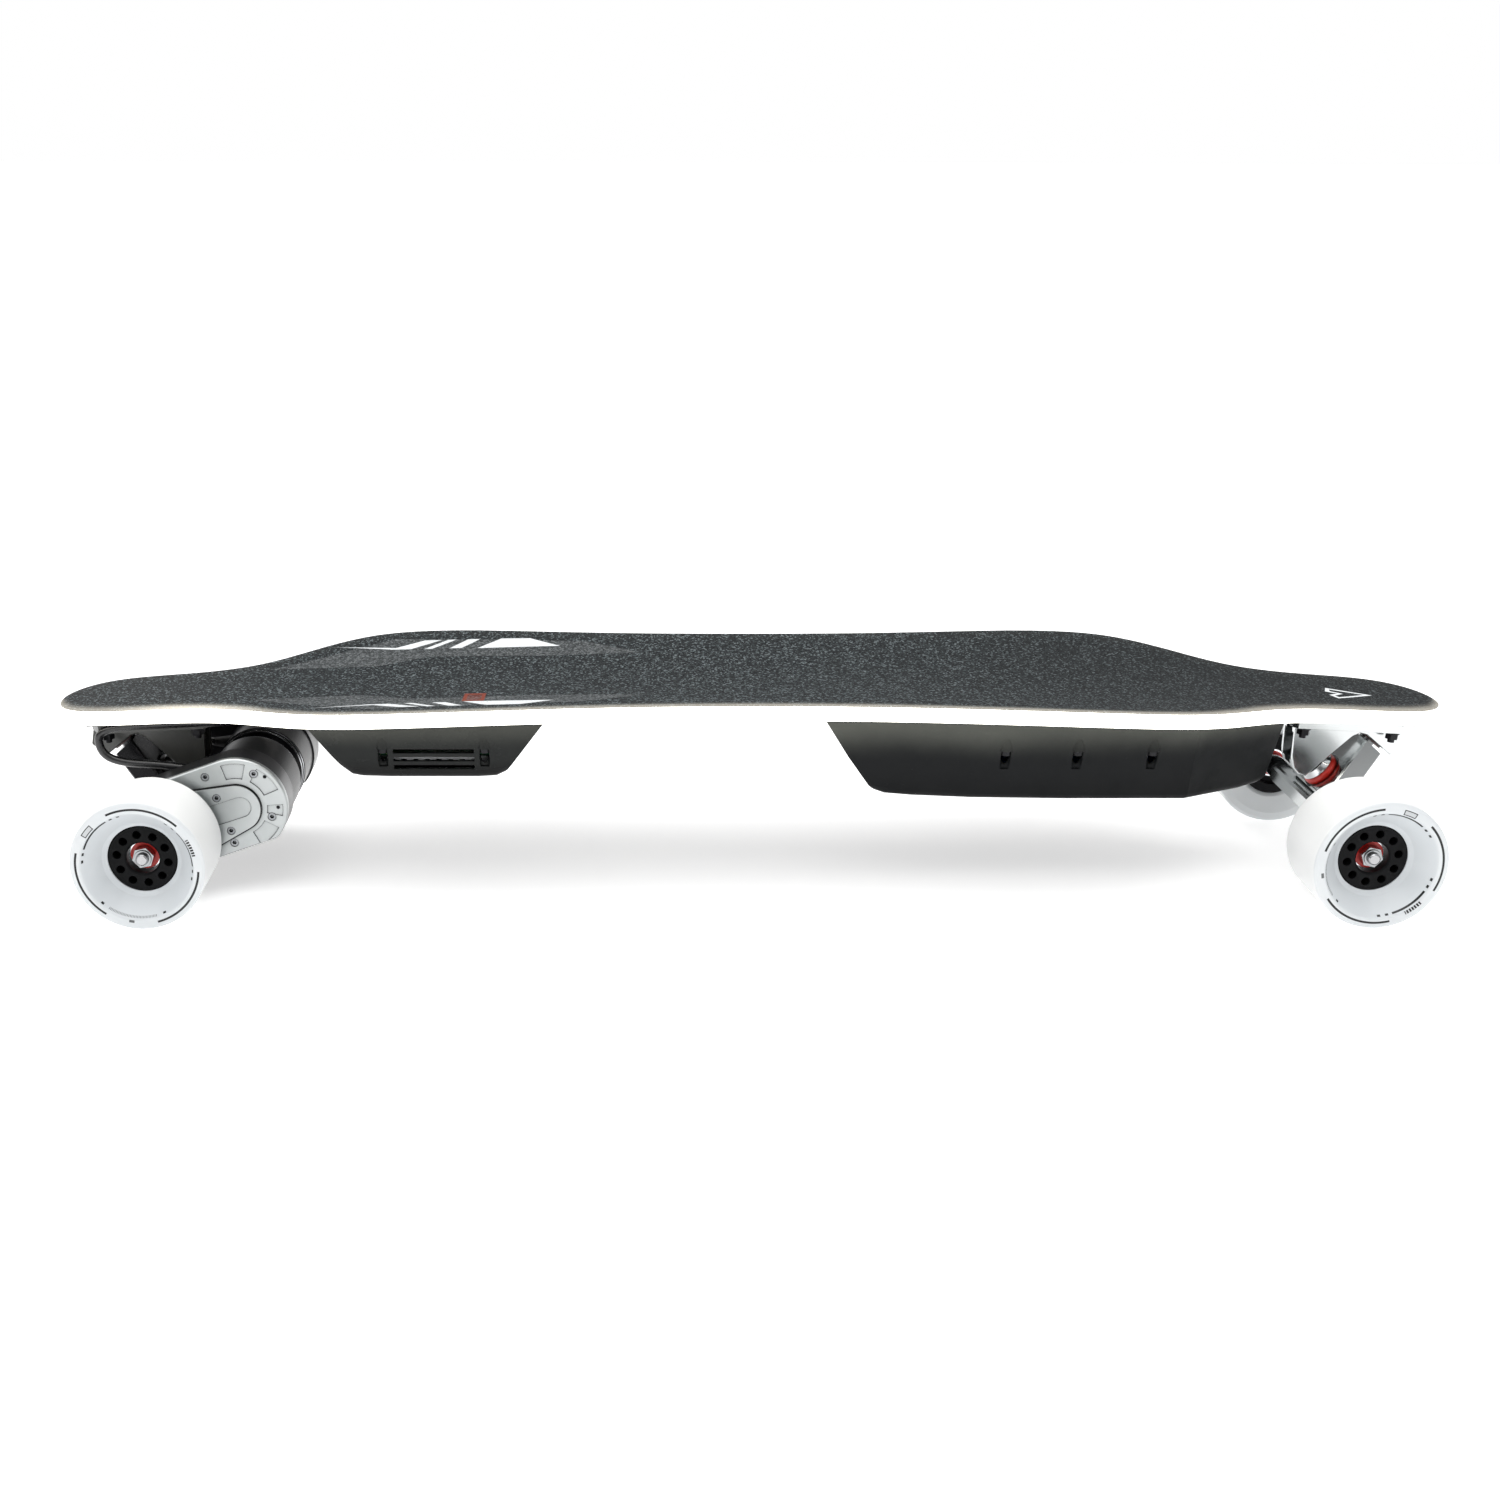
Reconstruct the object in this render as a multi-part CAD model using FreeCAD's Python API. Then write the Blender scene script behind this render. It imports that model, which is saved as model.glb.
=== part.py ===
import FreeCAD, Part
import math
import os

# Electric skateboard with two geared rear motors, millimetres.
# Origin on the ground under the middle of the board, +X to the nose, +Z up.
# The two trucks are the same design: each is drawn at the nose and the rear one
# is the nose one turned half round about Z.

V = FreeCAD.Vector
X_AXIS = V(1, 0, 0)
Y_AXIS = V(0, 1, 0)
Z_AXIS = V(0, 0, 1)

# ---------------------------------------------------------------- main sizes
WHEELBASE = 824.5
WHEEL_R = 45.0
AXLE_X = WHEELBASE / 2
AXLE_Z = WHEEL_R

# deck
DECK_Z = 137.5              # top of the deck at its centre
CAMBER_R = 7777.0           # the deck falls towards both tips on this radius
CONCAVE_R = 500.0           # and rises towards both edges on this one
DECK_T = 11.0               # grip tape and core together
GRIP_T = 1.0
LIGHT_W = 3.0               # depth of the light guide let into the edge
TIP_X = 491.0
TIP_R = 38.0
HALF_WIDTHS = ((0, 92.3), (80, 94), (160, 100), (240, 105), (280, 100), (320, 80.5),
               (360, 55), (400, 44.5), (440, 41.5))

# truck: s runs up the steering axis away from the axle, n is square to it
STEER_ANGLE = 48.8
STEER_N = 5.0               # the steering axis passes this far from the axle centre
KINGPIN_S = 20.4
KINGPIN_R = 4.76
SEAT_N = 21.3               # the kingpin seat of the baseplate
PLATE_N = (-5.5, 11.5)      # the hanger's plate lies between these
WEB_N = (1.0, 9.0)          # web of the hanger between the two bushings
ARM_END_S = 56.6
HOOK_S = 60.0
MOUNT_X = 424.0             # middle of the four deck bolts
MOUNT_TILT = 3.1            # degrees, the slope of the deck there
RISER_T = 2.6
FLANGE_T = 6.0
BOLT_DX = 31.75
BOLT_DY = 20.65
BOLT_R = 2.4
BODY_HALF = 11.2            # half width of the baseplate's body

# wheel, axle and bearings, as distances from the board's centre plane
TYRE_Y = (74.4, 128.8)
CORE_Y = (79.0, 113.2)
CORE_R = 23.45
BEARING_W = 7.0
BEARING_Y = (84.2, 99.2)    # inner faces of the two bearings
BEARING_R = 11.0
HUB_POCKET_R = 16.02
AXLE_R = 3.98
AXLE_END_Y = 116.8
HANGER_END_Y = 83.5

# gear drive, as distances from the board's centre plane
MODULE = 1.5
TEETH = {"driven": 34, "idler": 18, "pinion": 12}
DRIVE_ANGLE = 19.7          # from the axle up to the motor
GEAR_Y = (51.0, 60.0)
HOUSING_Y = (45.0, 64.0)
HOUSING_WALL = 4.0
COVER_Y = (64.0, 68.5, 70.0)
HOUSING_END = (55.6, 20.1)  # centre of the round end, from the axle
HOUSING_END_R = 34.8
HOUSING_LOW = 30.1          # straight lower side, from the line axle to motor
MOTOR_R = 31.5
MOTOR_Y = (3.0, 45.0)
SHAFT_R = 3.98

LEAD_R = 2.9                # motor lead


# ------------------------------------------------------------------- helpers
def cylinder(radius, length, base, axis):
    return Part.makeCylinder(radius, length, base, axis)


def tube(outer, inner, length, base, axis):
    hole = cylinder(inner, length + 2, base - axis * 1.0, axis)
    return cylinder(outer, length, base, axis).cut(hole)


def box(x0, x1, y0, y1, z0, z1):
    return Part.makeBox(x1 - x0, y1 - y0, z1 - z0, V(x0, y0, z0))


def polygon_face(points):
    return Part.Face(Part.makePolygon(points + [points[0]]))


def prism_xz(points, y0, y1):
    face = polygon_face([V(x, y0, z) for x, z in points])
    return face.extrude(V(0, y1 - y0, 0))


def turned(profile, x, z):
    """A solid turned about the line through (x, z) along Y; profile is (radius, y)."""
    face = polygon_face([V(x + r, y, z) for r, y in profile])
    return face.revolve(V(x, 0, z), Y_AXIS, 360)


def fused(shapes):
    whole = shapes[0]
    for shape in shapes[1:]:
        whole = whole.fuse(shape)
    return whole.removeSplitter()


def group(shapes):
    return Part.makeCompound(shapes)


def half_turn(shape):
    copy = shape.copy()
    copy.rotate(V(0, 0, 0), Z_AXIS, 180)
    return copy


def mirrored_y(shape):
    return shape.mirror(V(0, 0, 0), Y_AXIS)


def both_sides(shape):
    return group([shape, mirrored_y(shape)])


def hull_of_circles(centre_a, radius_a, centre_b, radius_b, y0, y1):
    """Prism along Y whose outline is two circles joined by their outer tangents."""
    ax, az = centre_a
    bx, bz = centre_b
    distance = math.hypot(bx - ax, bz - az)
    along = math.atan2(bz - az, bx - ax)
    lean = math.acos((radius_a - radius_b) / distance)

    def at(centre, radius, angle):
        return V(centre[0] + radius * math.cos(angle), y0, centre[1] + radius * math.sin(angle))

    upper_a = at(centre_a, radius_a, along + lean)
    lower_a = at(centre_a, radius_a, along - lean)
    upper_b = at(centre_b, radius_b, along + lean)
    lower_b = at(centre_b, radius_b, along - lean)
    edges = [Part.LineSegment(upper_a, upper_b).toShape(),
             Part.Arc(upper_b, at(centre_b, radius_b, along), lower_b).toShape(),
             Part.LineSegment(lower_b, lower_a).toShape(),
             Part.Arc(lower_a, at(centre_a, radius_a, along + math.pi), upper_a).toShape()]
    return Part.Face(Part.Wire(edges)).extrude(V(0, y1 - y0, 0))


# ---------------------------------------------------------------------- deck
def deck_band(top, bottom):
    """Curved slab between two depths below the top surface of the deck."""
    half_width = 140.0
    half_angle = math.degrees(math.asin((TIP_X + 60) / CAMBER_R))

    def row(depth):
        rise = half_width ** 2 / (2 * CONCAVE_R)
        return [V(0, -half_width, DECK_Z + rise - depth), V(0, 0, DECK_Z - depth),
                V(0, half_width, DECK_Z + rise - depth)]

    upper = row(top)
    lower = row(bottom)
    edges = [Part.Arc(*upper).toShape(), Part.LineSegment(upper[2], lower[2]).toShape(),
             Part.Arc(*lower).toShape(), Part.LineSegment(lower[0], upper[0]).toShape()]
    face = Part.Face(Part.Wire(Part.__sortEdges__(edges)))
    centre = V(0, 0, DECK_Z - CAMBER_R)
    face.rotate(centre, Y_AXIS, -half_angle)
    return face.revolve(centre, Y_AXIS, 2 * half_angle)


def deck_outline(inset):
    """The deck's plan shape, one smooth closed curve drawn inset from the edge."""
    quarter = [V(x, width - inset, 0) for x, width in HALF_WIDTHS]
    for degrees in (63, 35):
        angle = math.radians(degrees)
        radius = TIP_R - inset
        quarter.append(V(TIP_X - TIP_R + radius * math.cos(angle), radius * math.sin(angle), 0))
    nose = V(TIP_X - inset, 0, 0)
    far_side = [V(-p.x, p.y, 0) for p in reversed(quarter[1:])] + quarter
    near_side = [V(p.x, -p.y, 0) for p in reversed(far_side)]
    curve = Part.BSplineCurve()
    curve.interpolate(Points=far_side + [nose] + near_side + [nose * -1], PeriodicFlag=True)
    # the curve is cut into edges at its middle, its widest places and its tips
    middle = quarter[0]
    widest = quarter[4]
    splits = [V(-widest.x, widest.y, 0), middle, widest, nose,
              V(widest.x, -widest.y, 0), middle * -1, widest * -1, nose * -1]
    stations = [curve.FirstParameter] + [curve.parameter(p) for p in splits] + [curve.LastParameter]
    return Part.Wire([curve.toShape(a, b) for a, b in zip(stations, stations[1:])])


def in_mount_frame(shape):
    """Places a shape drawn about the mount point on the deck's underside."""
    underside = DECK_Z - DECK_T - MOUNT_X ** 2 / (2 * CAMBER_R)
    shape.rotate(V(0, 0, 0), Y_AXIS, MOUNT_TILT)
    shape.translate(V(MOUNT_X, 0, underside))
    return shape


def bolt_places():
    return [(dx, dy) for dx in (-BOLT_DX, BOLT_DX) for dy in (-BOLT_DY, BOLT_DY)]


def at_bolts(shape):
    copies = []
    for dx, dy in bolt_places():
        copy = shape.copy()
        copy.translate(V(dx, dy, 0))
        copies.append(in_mount_frame(copy))
    return copies


def both_ends(shapes):
    return group(shapes + [half_turn(shape) for shape in shapes])


HEAD_DEPTH = 3.0
HEAD_R = 4.6
deck_bolt_holes = at_bolts(cylinder(BOLT_R + 0.2, 30, V(0, 0, -5), Z_AXIS))
deck_head_holes = at_bolts(cylinder(HEAD_R + 0.2, 12, V(0, 0, DECK_T - GRIP_T - HEAD_DEPTH - 0.3), Z_AXIS))

CABLE_X = (-165.0, 70.0)
cable_groove = deck_band(5.5, DECK_T + 1).common(box(CABLE_X[0], CABLE_X[1], -7, 7, 100, 160))

UP = V(0, 0, 300)
outer_outline = deck_outline(0)
inner_outline = deck_outline(LIGHT_W)
edge_ring = Part.makeFace([outer_outline, inner_outline], "Part::FaceMakerBullseye").extrude(UP)
grip_tape = deck_band(0, GRIP_T).common(Part.Face(outer_outline).extrude(UP))
core_band = deck_band(GRIP_T, DECK_T)
deck_core = core_band.common(Part.Face(inner_outline).extrude(UP)).cut(cable_groove)
led_light_guide = fused(core_band.common(edge_ring).Solids)
for hole in deck_bolt_holes + deck_head_holes:
    deck_core = deck_core.cut(hole).cut(half_turn(hole))


# --------------------------------------------------------------------- truck
def on_truck(s, n, y=0.0):
    """Point of the nose truck from its steering coordinates."""
    angle = math.radians(STEER_ANGLE)
    return V(AXLE_X + s * math.cos(angle) - n * math.sin(angle), y,
             AXLE_Z + s * math.sin(angle) + n * math.cos(angle))


S_DIR = on_truck(1, 0) - on_truck(0, 0)
N_DIR = on_truck(0, 1) - on_truck(0, 0)


def truck_slab(points, n0, n1):
    """Prism through n whose outline is given as (s, y) points."""
    face = polygon_face([on_truck(s, n0, y) for s, y in points])
    return face.extrude(N_DIR * (n1 - n0))


def truck_turned(profile, s, n):
    """Solid turned about the kingpin line; profile is (radius, distance along n)."""
    centre = on_truck(s, n)
    points = [centre + S_DIR * r + N_DIR * h for r, h in profile]
    return polygon_face(points).revolve(centre, N_DIR, 360)


def kingpin_hole(radius, n0, n1):
    return cylinder(radius, n1 - n0, on_truck(KINGPIN_S, n0), N_DIR)


FLANGE_X = (-41.0, 44.0)
FLANGE_HALF = 27.0
riser = in_mount_frame(box(FLANGE_X[0], FLANGE_X[1], -FLANGE_HALF, FLANGE_HALF, -RISER_T, 6))
riser = riser.cut(deck_band(-20, DECK_T))
for hole in at_bolts(cylinder(BOLT_R + 0.2, 20, V(0, 0, -10), Z_AXIS)):
    riser = riser.cut(hole)
riser_pads = both_ends([riser])

KINGPIN_HEAD_N = 31.0
PIVOT_CUP_R = 8.5
PIVOT_PIN_R = 6.0
PIVOT_CUP_END_S = 72.0
flange_outline = [(FLANGE_X[0] + 3, -FLANGE_HALF), (FLANGE_X[1] - 8, -FLANGE_HALF), (FLANGE_X[1], -14),
                  (FLANGE_X[1], 14), (FLANGE_X[1] - 8, FLANGE_HALF), (FLANGE_X[0] + 3, FLANGE_HALF),
                  (FLANGE_X[0], FLANGE_HALF - 3), (FLANGE_X[0], 3 - FLANGE_HALF)]
flange_face = polygon_face([V(x, y, -RISER_T - FLANGE_T) for x, y in flange_outline])
flange = in_mount_frame(flange_face.extrude(V(0, 0, FLANGE_T)))
body_outline = [(-22.8, 65), (-22.3, 34.8), (-20.6, 28.4), (-16.6, 24.0), (-10.8, 22.4), (19.4, 52.2),
                (24.4, 54.6), (29.2, 53.4), (48.3, 37.9), (57.6, 46.6), (55.3, 59.5)]
body = prism_xz([(AXLE_X + x, AXLE_Z + z) for x, z in body_outline], -BODY_HALF, BODY_HALF)
body_edges = [e for e in body.Edges if abs(e.Vertexes[0].Point.y - e.Vertexes[-1].Point.y) < 0.01
              and max(v.Point.z for v in e.Vertexes) < AXLE_Z + 58]
body = body.makeChamfer(0.8, body_edges)
head_slot = truck_slab([(KINGPIN_S - 9.5, -8.5), (KINGPIN_S + 9.5, -8.5), (KINGPIN_S + 9.5, 8.5),
                        (KINGPIN_S - 9.5, 8.5)], KINGPIN_HEAD_N, KINGPIN_HEAD_N + 22)
end_groove = box(AXLE_X - 24, AXLE_X - 17.5, -5.5, 5.5, AXLE_Z + 30, AXLE_Z + 59)
pivot_cup = cylinder(PIVOT_CUP_R, PIVOT_CUP_END_S - HOOK_S + 5, on_truck(HOOK_S - 5, STEER_N), S_DIR)
baseplate = fused([flange, body]).cut(head_slot).cut(end_groove).cut(pivot_cup)
baseplate = baseplate.cut(kingpin_hole(KINGPIN_R, SEAT_N - 8, KINGPIN_HEAD_N + 5))
for hole in at_bolts(cylinder(BOLT_R + 0.2, 20, V(0, 0, -15), Z_AXIS)):
    baseplate = baseplate.cut(hole)
front_baseplate = baseplate
rear_baseplate = half_turn(baseplate)

NUT_TOP = -RISER_T - FLANGE_T
NUT_H = 5.5
BOLT_END = NUT_TOP - NUT_H - 2.6
bolt = fused([cylinder(BOLT_R, DECK_T - GRIP_T - BOLT_END, V(0, 0, BOLT_END), Z_AXIS),
              cylinder(HEAD_R, HEAD_DEPTH, V(0, 0, DECK_T - GRIP_T - HEAD_DEPTH), Z_AXIS)])


def hex_prism(across_flats, height, base, axis, turn=0.0):
    """Six-sided prism standing on base along axis."""
    corner = across_flats / math.sqrt(3)
    points = []
    for k in range(6):
        angle = math.radians(60 * k + turn)
        points.append(V(corner * math.cos(angle), corner * math.sin(angle), 0))
    solid = polygon_face(points).extrude(V(0, 0, height))
    solid.Placement = FreeCAD.Placement(base, FreeCAD.Rotation(Z_AXIS, axis))
    return solid


nut_flange = cylinder(5.0, 1.6, V(0, 0, NUT_TOP - 1.6), Z_AXIS)
flange_nut = fused([hex_prism(8.0, NUT_H, V(0, 0, NUT_TOP - NUT_H), Z_AXIS), nut_flange])
flange_nut = flange_nut.cut(cylinder(BOLT_R, 20, V(0, 0, NUT_TOP - 15), Z_AXIS))
deck_bolts = both_ends(at_bolts(bolt))
deck_nuts = both_ends(at_bolts(flange_nut))

# kingpin stack: washer and bushing above the hanger's web, the same below it
WASHER_T = 3.4
LOW_WASHER_N = -12.1
KINGPIN_END_N = -28.1
washer_profile = [(KINGPIN_R + 0.1, 0), (8.5, 0), (9.4, -0.6), (11.7, -3.0), (12.3, -2.6), (11.9, -1.6),
                  (10.4, 1.4), (9.6, 1.9), (KINGPIN_R + 0.1, 1.9)]
top_washer = truck_turned(washer_profile, KINGPIN_S, SEAT_N - 1.9)
low_washer = truck_turned([(r, -h) for r, h in washer_profile], KINGPIN_S, LOW_WASHER_N)
cup_washers = both_ends([top_washer, low_washer])

kingpin = fused([kingpin_hole(KINGPIN_R - 0.02, KINGPIN_END_N, KINGPIN_HEAD_N + 3),
                 hex_prism(14.2, 5.5, on_truck(KINGPIN_S, KINGPIN_HEAD_N), N_DIR)])
kingpins = both_ends([kingpin])
kingpin_nut = hex_prism(14.2, 7.5, on_truck(KINGPIN_S, LOW_WASHER_N - 9.4), N_DIR)
kingpin_nut = fused([kingpin_nut, cylinder(6.4, 3, on_truck(KINGPIN_S, LOW_WASHER_N - 11.9), N_DIR)])
kingpin_nut = kingpin_nut.cut(kingpin_hole(KINGPIN_R, -40, -5))
kingpin_nuts = both_ends([kingpin_nut])


def bushing(n0, n1, seat_r, cup_r):
    """Urethane bushing: seat end at n0, washer end at n1, waisted barrel between."""
    height = n1 - n0
    profile = [(5.4, 0), (seat_r - 1, 0), (seat_r, 0.12 * height), (seat_r + 0.5, 0.5 * height),
               (cup_r, 0.88 * height), (cup_r - 1, height), (5.4, height)]
    return truck_turned(profile, KINGPIN_S, n0)


truck_bushings = [bushing(WEB_N[1], SEAT_N - 1.9, 12.6, 9.2), bushing(WEB_N[0], LOW_WASHER_N, 12.6, 9.2)]
kingpin_bushings = both_ends(truck_bushings)

pivot_bushing = fused([cylinder(PIVOT_CUP_R - 0.02, 11.5, on_truck(HOOK_S + 0.3, STEER_N), S_DIR),
                       cylinder(10.6, 1.3, on_truck(HOOK_S - 1.3, STEER_N), S_DIR)])
pivot_bushing = pivot_bushing.fuse(cylinder(PIVOT_CUP_R - 0.02, 0.6, on_truck(HOOK_S, STEER_N), S_DIR))
pivot_bushing = pivot_bushing.cut(cylinder(PIVOT_PIN_R + 0.06, 20, on_truck(HOOK_S - 5, STEER_N), S_DIR))
pivot_bushing = pivot_bushing.removeSplitter().cut(baseplate)
pivot_bushings = both_ends([pivot_bushing])


# -------------------------------------------------------------------- hanger
BAR_HX = 9.0
BAR_HZ = 6.5
END_R = 8.0


def hanger(bar_half, cut_axle=True):
    plate = truck_slab([(5.7, -31), (ARM_END_S, -12), (ARM_END_S, 12), (5.7, 31)], PLATE_N[0], PLATE_N[1])
    side_edges = [e for e in plate.Edges if e.Length > 40]
    plate = plate.makeChamfer(1.2, side_edges)
    bar = box(AXLE_X - BAR_HX, AXLE_X + BAR_HX, -bar_half, bar_half, AXLE_Z - BAR_HZ, AXLE_Z + BAR_HZ)
    bar = bar.makeChamfer(1.6, [e for e in bar.Edges if e.Length > 2 * bar_half - 1])
    ends = cylinder(END_R, 2 * HANGER_END_Y, V(AXLE_X, -HANGER_END_Y, AXLE_Z), Y_AXIS)
    pin = cylinder(PIVOT_PIN_R, PIVOT_CUP_END_S - 1 - ARM_END_S + 2, on_truck(ARM_END_S - 2, STEER_N), S_DIR)
    whole = fused([plate, bar, ends, pin])
    for n0, n1 in ((WEB_N[1], PLATE_N[1] + 1), (PLATE_N[0] - 1, WEB_N[0])):
        whole = whole.cut(kingpin_hole(14.6, n0, n1))
    whole = whole.cut(kingpin_hole(8.0, -10, 20))
    axle_bore = cylinder(AXLE_R + 0.02, 200, V(AXLE_X, -100, AXLE_Z), Y_AXIS)
    return whole.cut(axle_bore)


front_hanger = hanger(60.0)
rear_hanger = half_turn(hanger(48.0))


# ------------------------------------------------------------ axles, bearings
axle = cylinder(AXLE_R, 2 * AXLE_END_Y, V(AXLE_X, -AXLE_END_Y, AXLE_Z), Y_AXIS)
end_circles = [e for e in axle.Edges if e.Length < 30 and e.Curve.TypeId == "Part::GeomCircle"]
axle = axle.makeChamfer(0.8, end_circles)
front_axle = axle
rear_axle = half_turn(axle)

OUTER_FACE_Y = BEARING_Y[1] + BEARING_W
nut_base = V(AXLE_X, OUTER_FACE_Y + 0.8, AXLE_Z)
axle_nut = hex_prism(13.0, 5.4, nut_base, Y_AXIS, 12)
axle_nut = fused([axle_nut, cylinder(5.6, 6.6, nut_base, Y_AXIS)])
axle_nut = axle_nut.cut(cylinder(AXLE_R, 20, nut_base - Y_AXIS * 5, Y_AXIS))
front_axle_nuts = both_sides(axle_nut)
rear_axle_nuts = half_turn(front_axle_nuts)


def on_axle(outer, y0, y1):
    return tube(outer, AXLE_R, y1 - y0, V(AXLE_X, y0, AXLE_Z), Y_AXIS)


inner_rings = [on_axle(6.0, y, y + BEARING_W) for y in BEARING_Y]
spacers = [on_axle(5.2, BEARING_Y[0] + BEARING_W, BEARING_Y[1]),
           on_axle(5.6, HANGER_END_Y, BEARING_Y[0]),
           on_axle(5.6, OUTER_FACE_Y, OUTER_FACE_Y + 0.8)]
front_axle_rings = both_sides(group(inner_rings + spacers))
rear_axle_rings = half_turn(front_axle_rings)


# -------------------------------------------------------------------- wheels
def wheel_tyre():
    y_in, y_out = TYRE_Y
    profile = [(CORE_R, CORE_Y[0] + 3.5), (CORE_R + 3, CORE_Y[0] + 0.5), (36.5, y_in + 0.6), (38.0, y_in),
               (42.6, y_in), (44.3, y_in + 0.8), (WHEEL_R, y_in + 2.6), (WHEEL_R, y_out - 2.3),
               (44.4, y_out - 0.8), (43.0, y_out), (38.6, y_out), (37.4, y_out - 0.6),
               (30.5, y_out - 8.6), (26.6, y_out - 13.2), (CORE_R, y_out - 15.6)]
    return turned(profile, AXLE_X, AXLE_Z)


def wheel_core():
    y_in, y_out = CORE_Y
    shoulder = (BEARING_Y[0] + BEARING_W, BEARING_Y[1])
    profile = [(BEARING_R, BEARING_Y[0]), (HUB_POCKET_R, BEARING_Y[0]), (HUB_POCKET_R, y_in),
               (CORE_R - 1, y_in), (CORE_R, y_in + 1), (CORE_R, y_out - 0.8), (CORE_R - 0.8, y_out),
               (BEARING_R + 1.2, y_out), (BEARING_R, y_out - 1.2), (BEARING_R, shoulder[1]),
               (BEARING_R - 1, shoulder[1]), (BEARING_R - 1, shoulder[0]), (BEARING_R, shoulder[0])]
    core = turned(profile, AXLE_X, AXLE_Z)
    for k in range(10):
        angle = math.radians(36 * k + 9)
        spot = V(AXLE_X + 17.2 * math.cos(angle), y_out - 9, AXLE_Z + 17.2 * math.sin(angle))
        core = core.cut(cylinder(2.9, 12, spot, Y_AXIS))
    for k in range(4):
        core = core.cut(drive_pin(k, 2.06))
    return core


def drive_pin(k, radius):
    """One of the pins by which a driven gear holds a wheel core."""
    angle = math.radians(90 * k + 45)
    spot = V(AXLE_X + 13.4 * math.cos(angle), BEARING_Y[0] - 1, AXLE_Z + 13.4 * math.sin(angle))
    return cylinder(radius, 5, spot, Y_AXIS)


def wheel_bearings():
    """Outer rings with their shields; the race inside is left hollow."""
    rings = []
    for y in BEARING_Y:
        profile = [(6.05, y + 0.3), (9.6, y + 0.3), (9.8, y), (BEARING_R, y), (BEARING_R, y + BEARING_W),
                   (9.8, y + BEARING_W), (9.6, y + BEARING_W - 0.3), (6.05, y + BEARING_W - 0.3),
                   (6.05, y + BEARING_W - 0.8), (9.2, y + BEARING_W - 0.8), (9.2, y + 0.8), (6.05, y + 0.8)]
        rings.append(turned(profile, AXLE_X, AXLE_Z))
    return group(rings)


wheel_parts = {"tyre": wheel_tyre(), "core": wheel_core(), "bearings": wheel_bearings()}
wheels = {}
for part_name, shape in wheel_parts.items():
    wheels["front_left_" + part_name] = shape
    wheels["front_right_" + part_name] = mirrored_y(shape)
    wheels["rear_right_" + part_name] = half_turn(shape)
    wheels["rear_left_" + part_name] = mirrored_y(half_turn(shape))


# --------------------------------------------------------------------- gears
PRESSURE_ANGLE = math.radians(25)
BACKLASH = 0.14


def gear(teeth, x, z, tooth_angle, y0, y1):
    """Spur gear about (x, z) with one tooth centred on tooth_angle (degrees in XZ)."""
    pitch_r = MODULE * teeth / 2
    base_r = pitch_r * math.cos(PRESSURE_ANGLE)
    tip_r = pitch_r + 0.9 * MODULE
    root_r = pitch_r - 1.25 * MODULE
    half_pitch_angle = (math.pi * MODULE / 2 - BACKLASH) / 2 / pitch_r

    def involute(angle):
        return math.tan(angle) - angle

    def half_angle(radius):
        """Half the angle that a tooth fills at a radius."""
        flank = math.acos(min(1.0, base_r / radius))
        return half_pitch_angle + involute(PRESSURE_ANGLE) - involute(flank)

    def at(radius, angle):
        return V(x + radius * math.cos(angle), y0, z + radius * math.sin(angle))

    start_r = max(base_r, root_r)
    radii = [start_r + (tip_r - start_r) * k / 4 for k in range(5)]
    edges = []
    for k in range(teeth):
        middle = math.radians(tooth_angle) + 2 * math.pi * k / teeth
        following = middle + 2 * math.pi / teeth
        rising = [at(r, middle - half_angle(r)) for r in radii]
        falling = [at(r, middle + half_angle(r)) for r in reversed(radii)]
        for points in (rising, falling):
            curve = Part.BSplineCurve()
            curve.interpolate(points)
            edges.append(curve.toShape())
        edges.append(Part.LineSegment(rising[-1], falling[0]).toShape())
        foot = at(root_r, middle + half_angle(start_r))
        next_foot = at(root_r, following - half_angle(start_r))
        if start_r > root_r:
            edges.append(Part.LineSegment(falling[-1], foot).toShape())
            edges.append(Part.LineSegment(next_foot, at(start_r, following - half_angle(start_r))).toShape())
        edges.append(Part.LineSegment(foot, next_foot).toShape())
    wire = Part.Wire(Part.__sortEdges__(edges))
    return Part.Face(wire).extrude(V(0, y1 - y0, 0))


def drive_point(distance):
    """Point on the line from the axle to the motor, in the rear truck's plane."""
    angle = math.radians(DRIVE_ANGLE)
    return (-AXLE_X + distance * math.cos(angle), AXLE_Z + distance * math.sin(angle))


def pitch_radius(name):
    return MODULE * TEETH[name] / 2


IDLER_AT = pitch_radius("driven") + pitch_radius("idler")
MOTOR_AT = IDLER_AT + pitch_radius("idler") + pitch_radius("pinion")
idler_x, idler_z = drive_point(IDLER_AT)
motor_x, motor_z = drive_point(MOTOR_AT)
IDLER_PIN_R = 4.0
HUB_R = 16.0
HUB_BORE_R = 9.2

driven_gear = gear(TEETH["driven"], -AXLE_X, AXLE_Z, DRIVE_ANGLE, GEAR_Y[0], GEAR_Y[1])
hub = cylinder(HUB_R, BEARING_Y[0] - GEAR_Y[0], V(-AXLE_X, GEAR_Y[0], AXLE_Z), Y_AXIS)
pins = [mirrored_y(half_turn(drive_pin(k, 2.0))) for k in range(4)]
driven_gear = fused([driven_gear, hub] + pins)
driven_gear = driven_gear.cut(cylinder(HUB_BORE_R, 60, V(-AXLE_X, 40, AXLE_Z), Y_AXIS))

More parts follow.
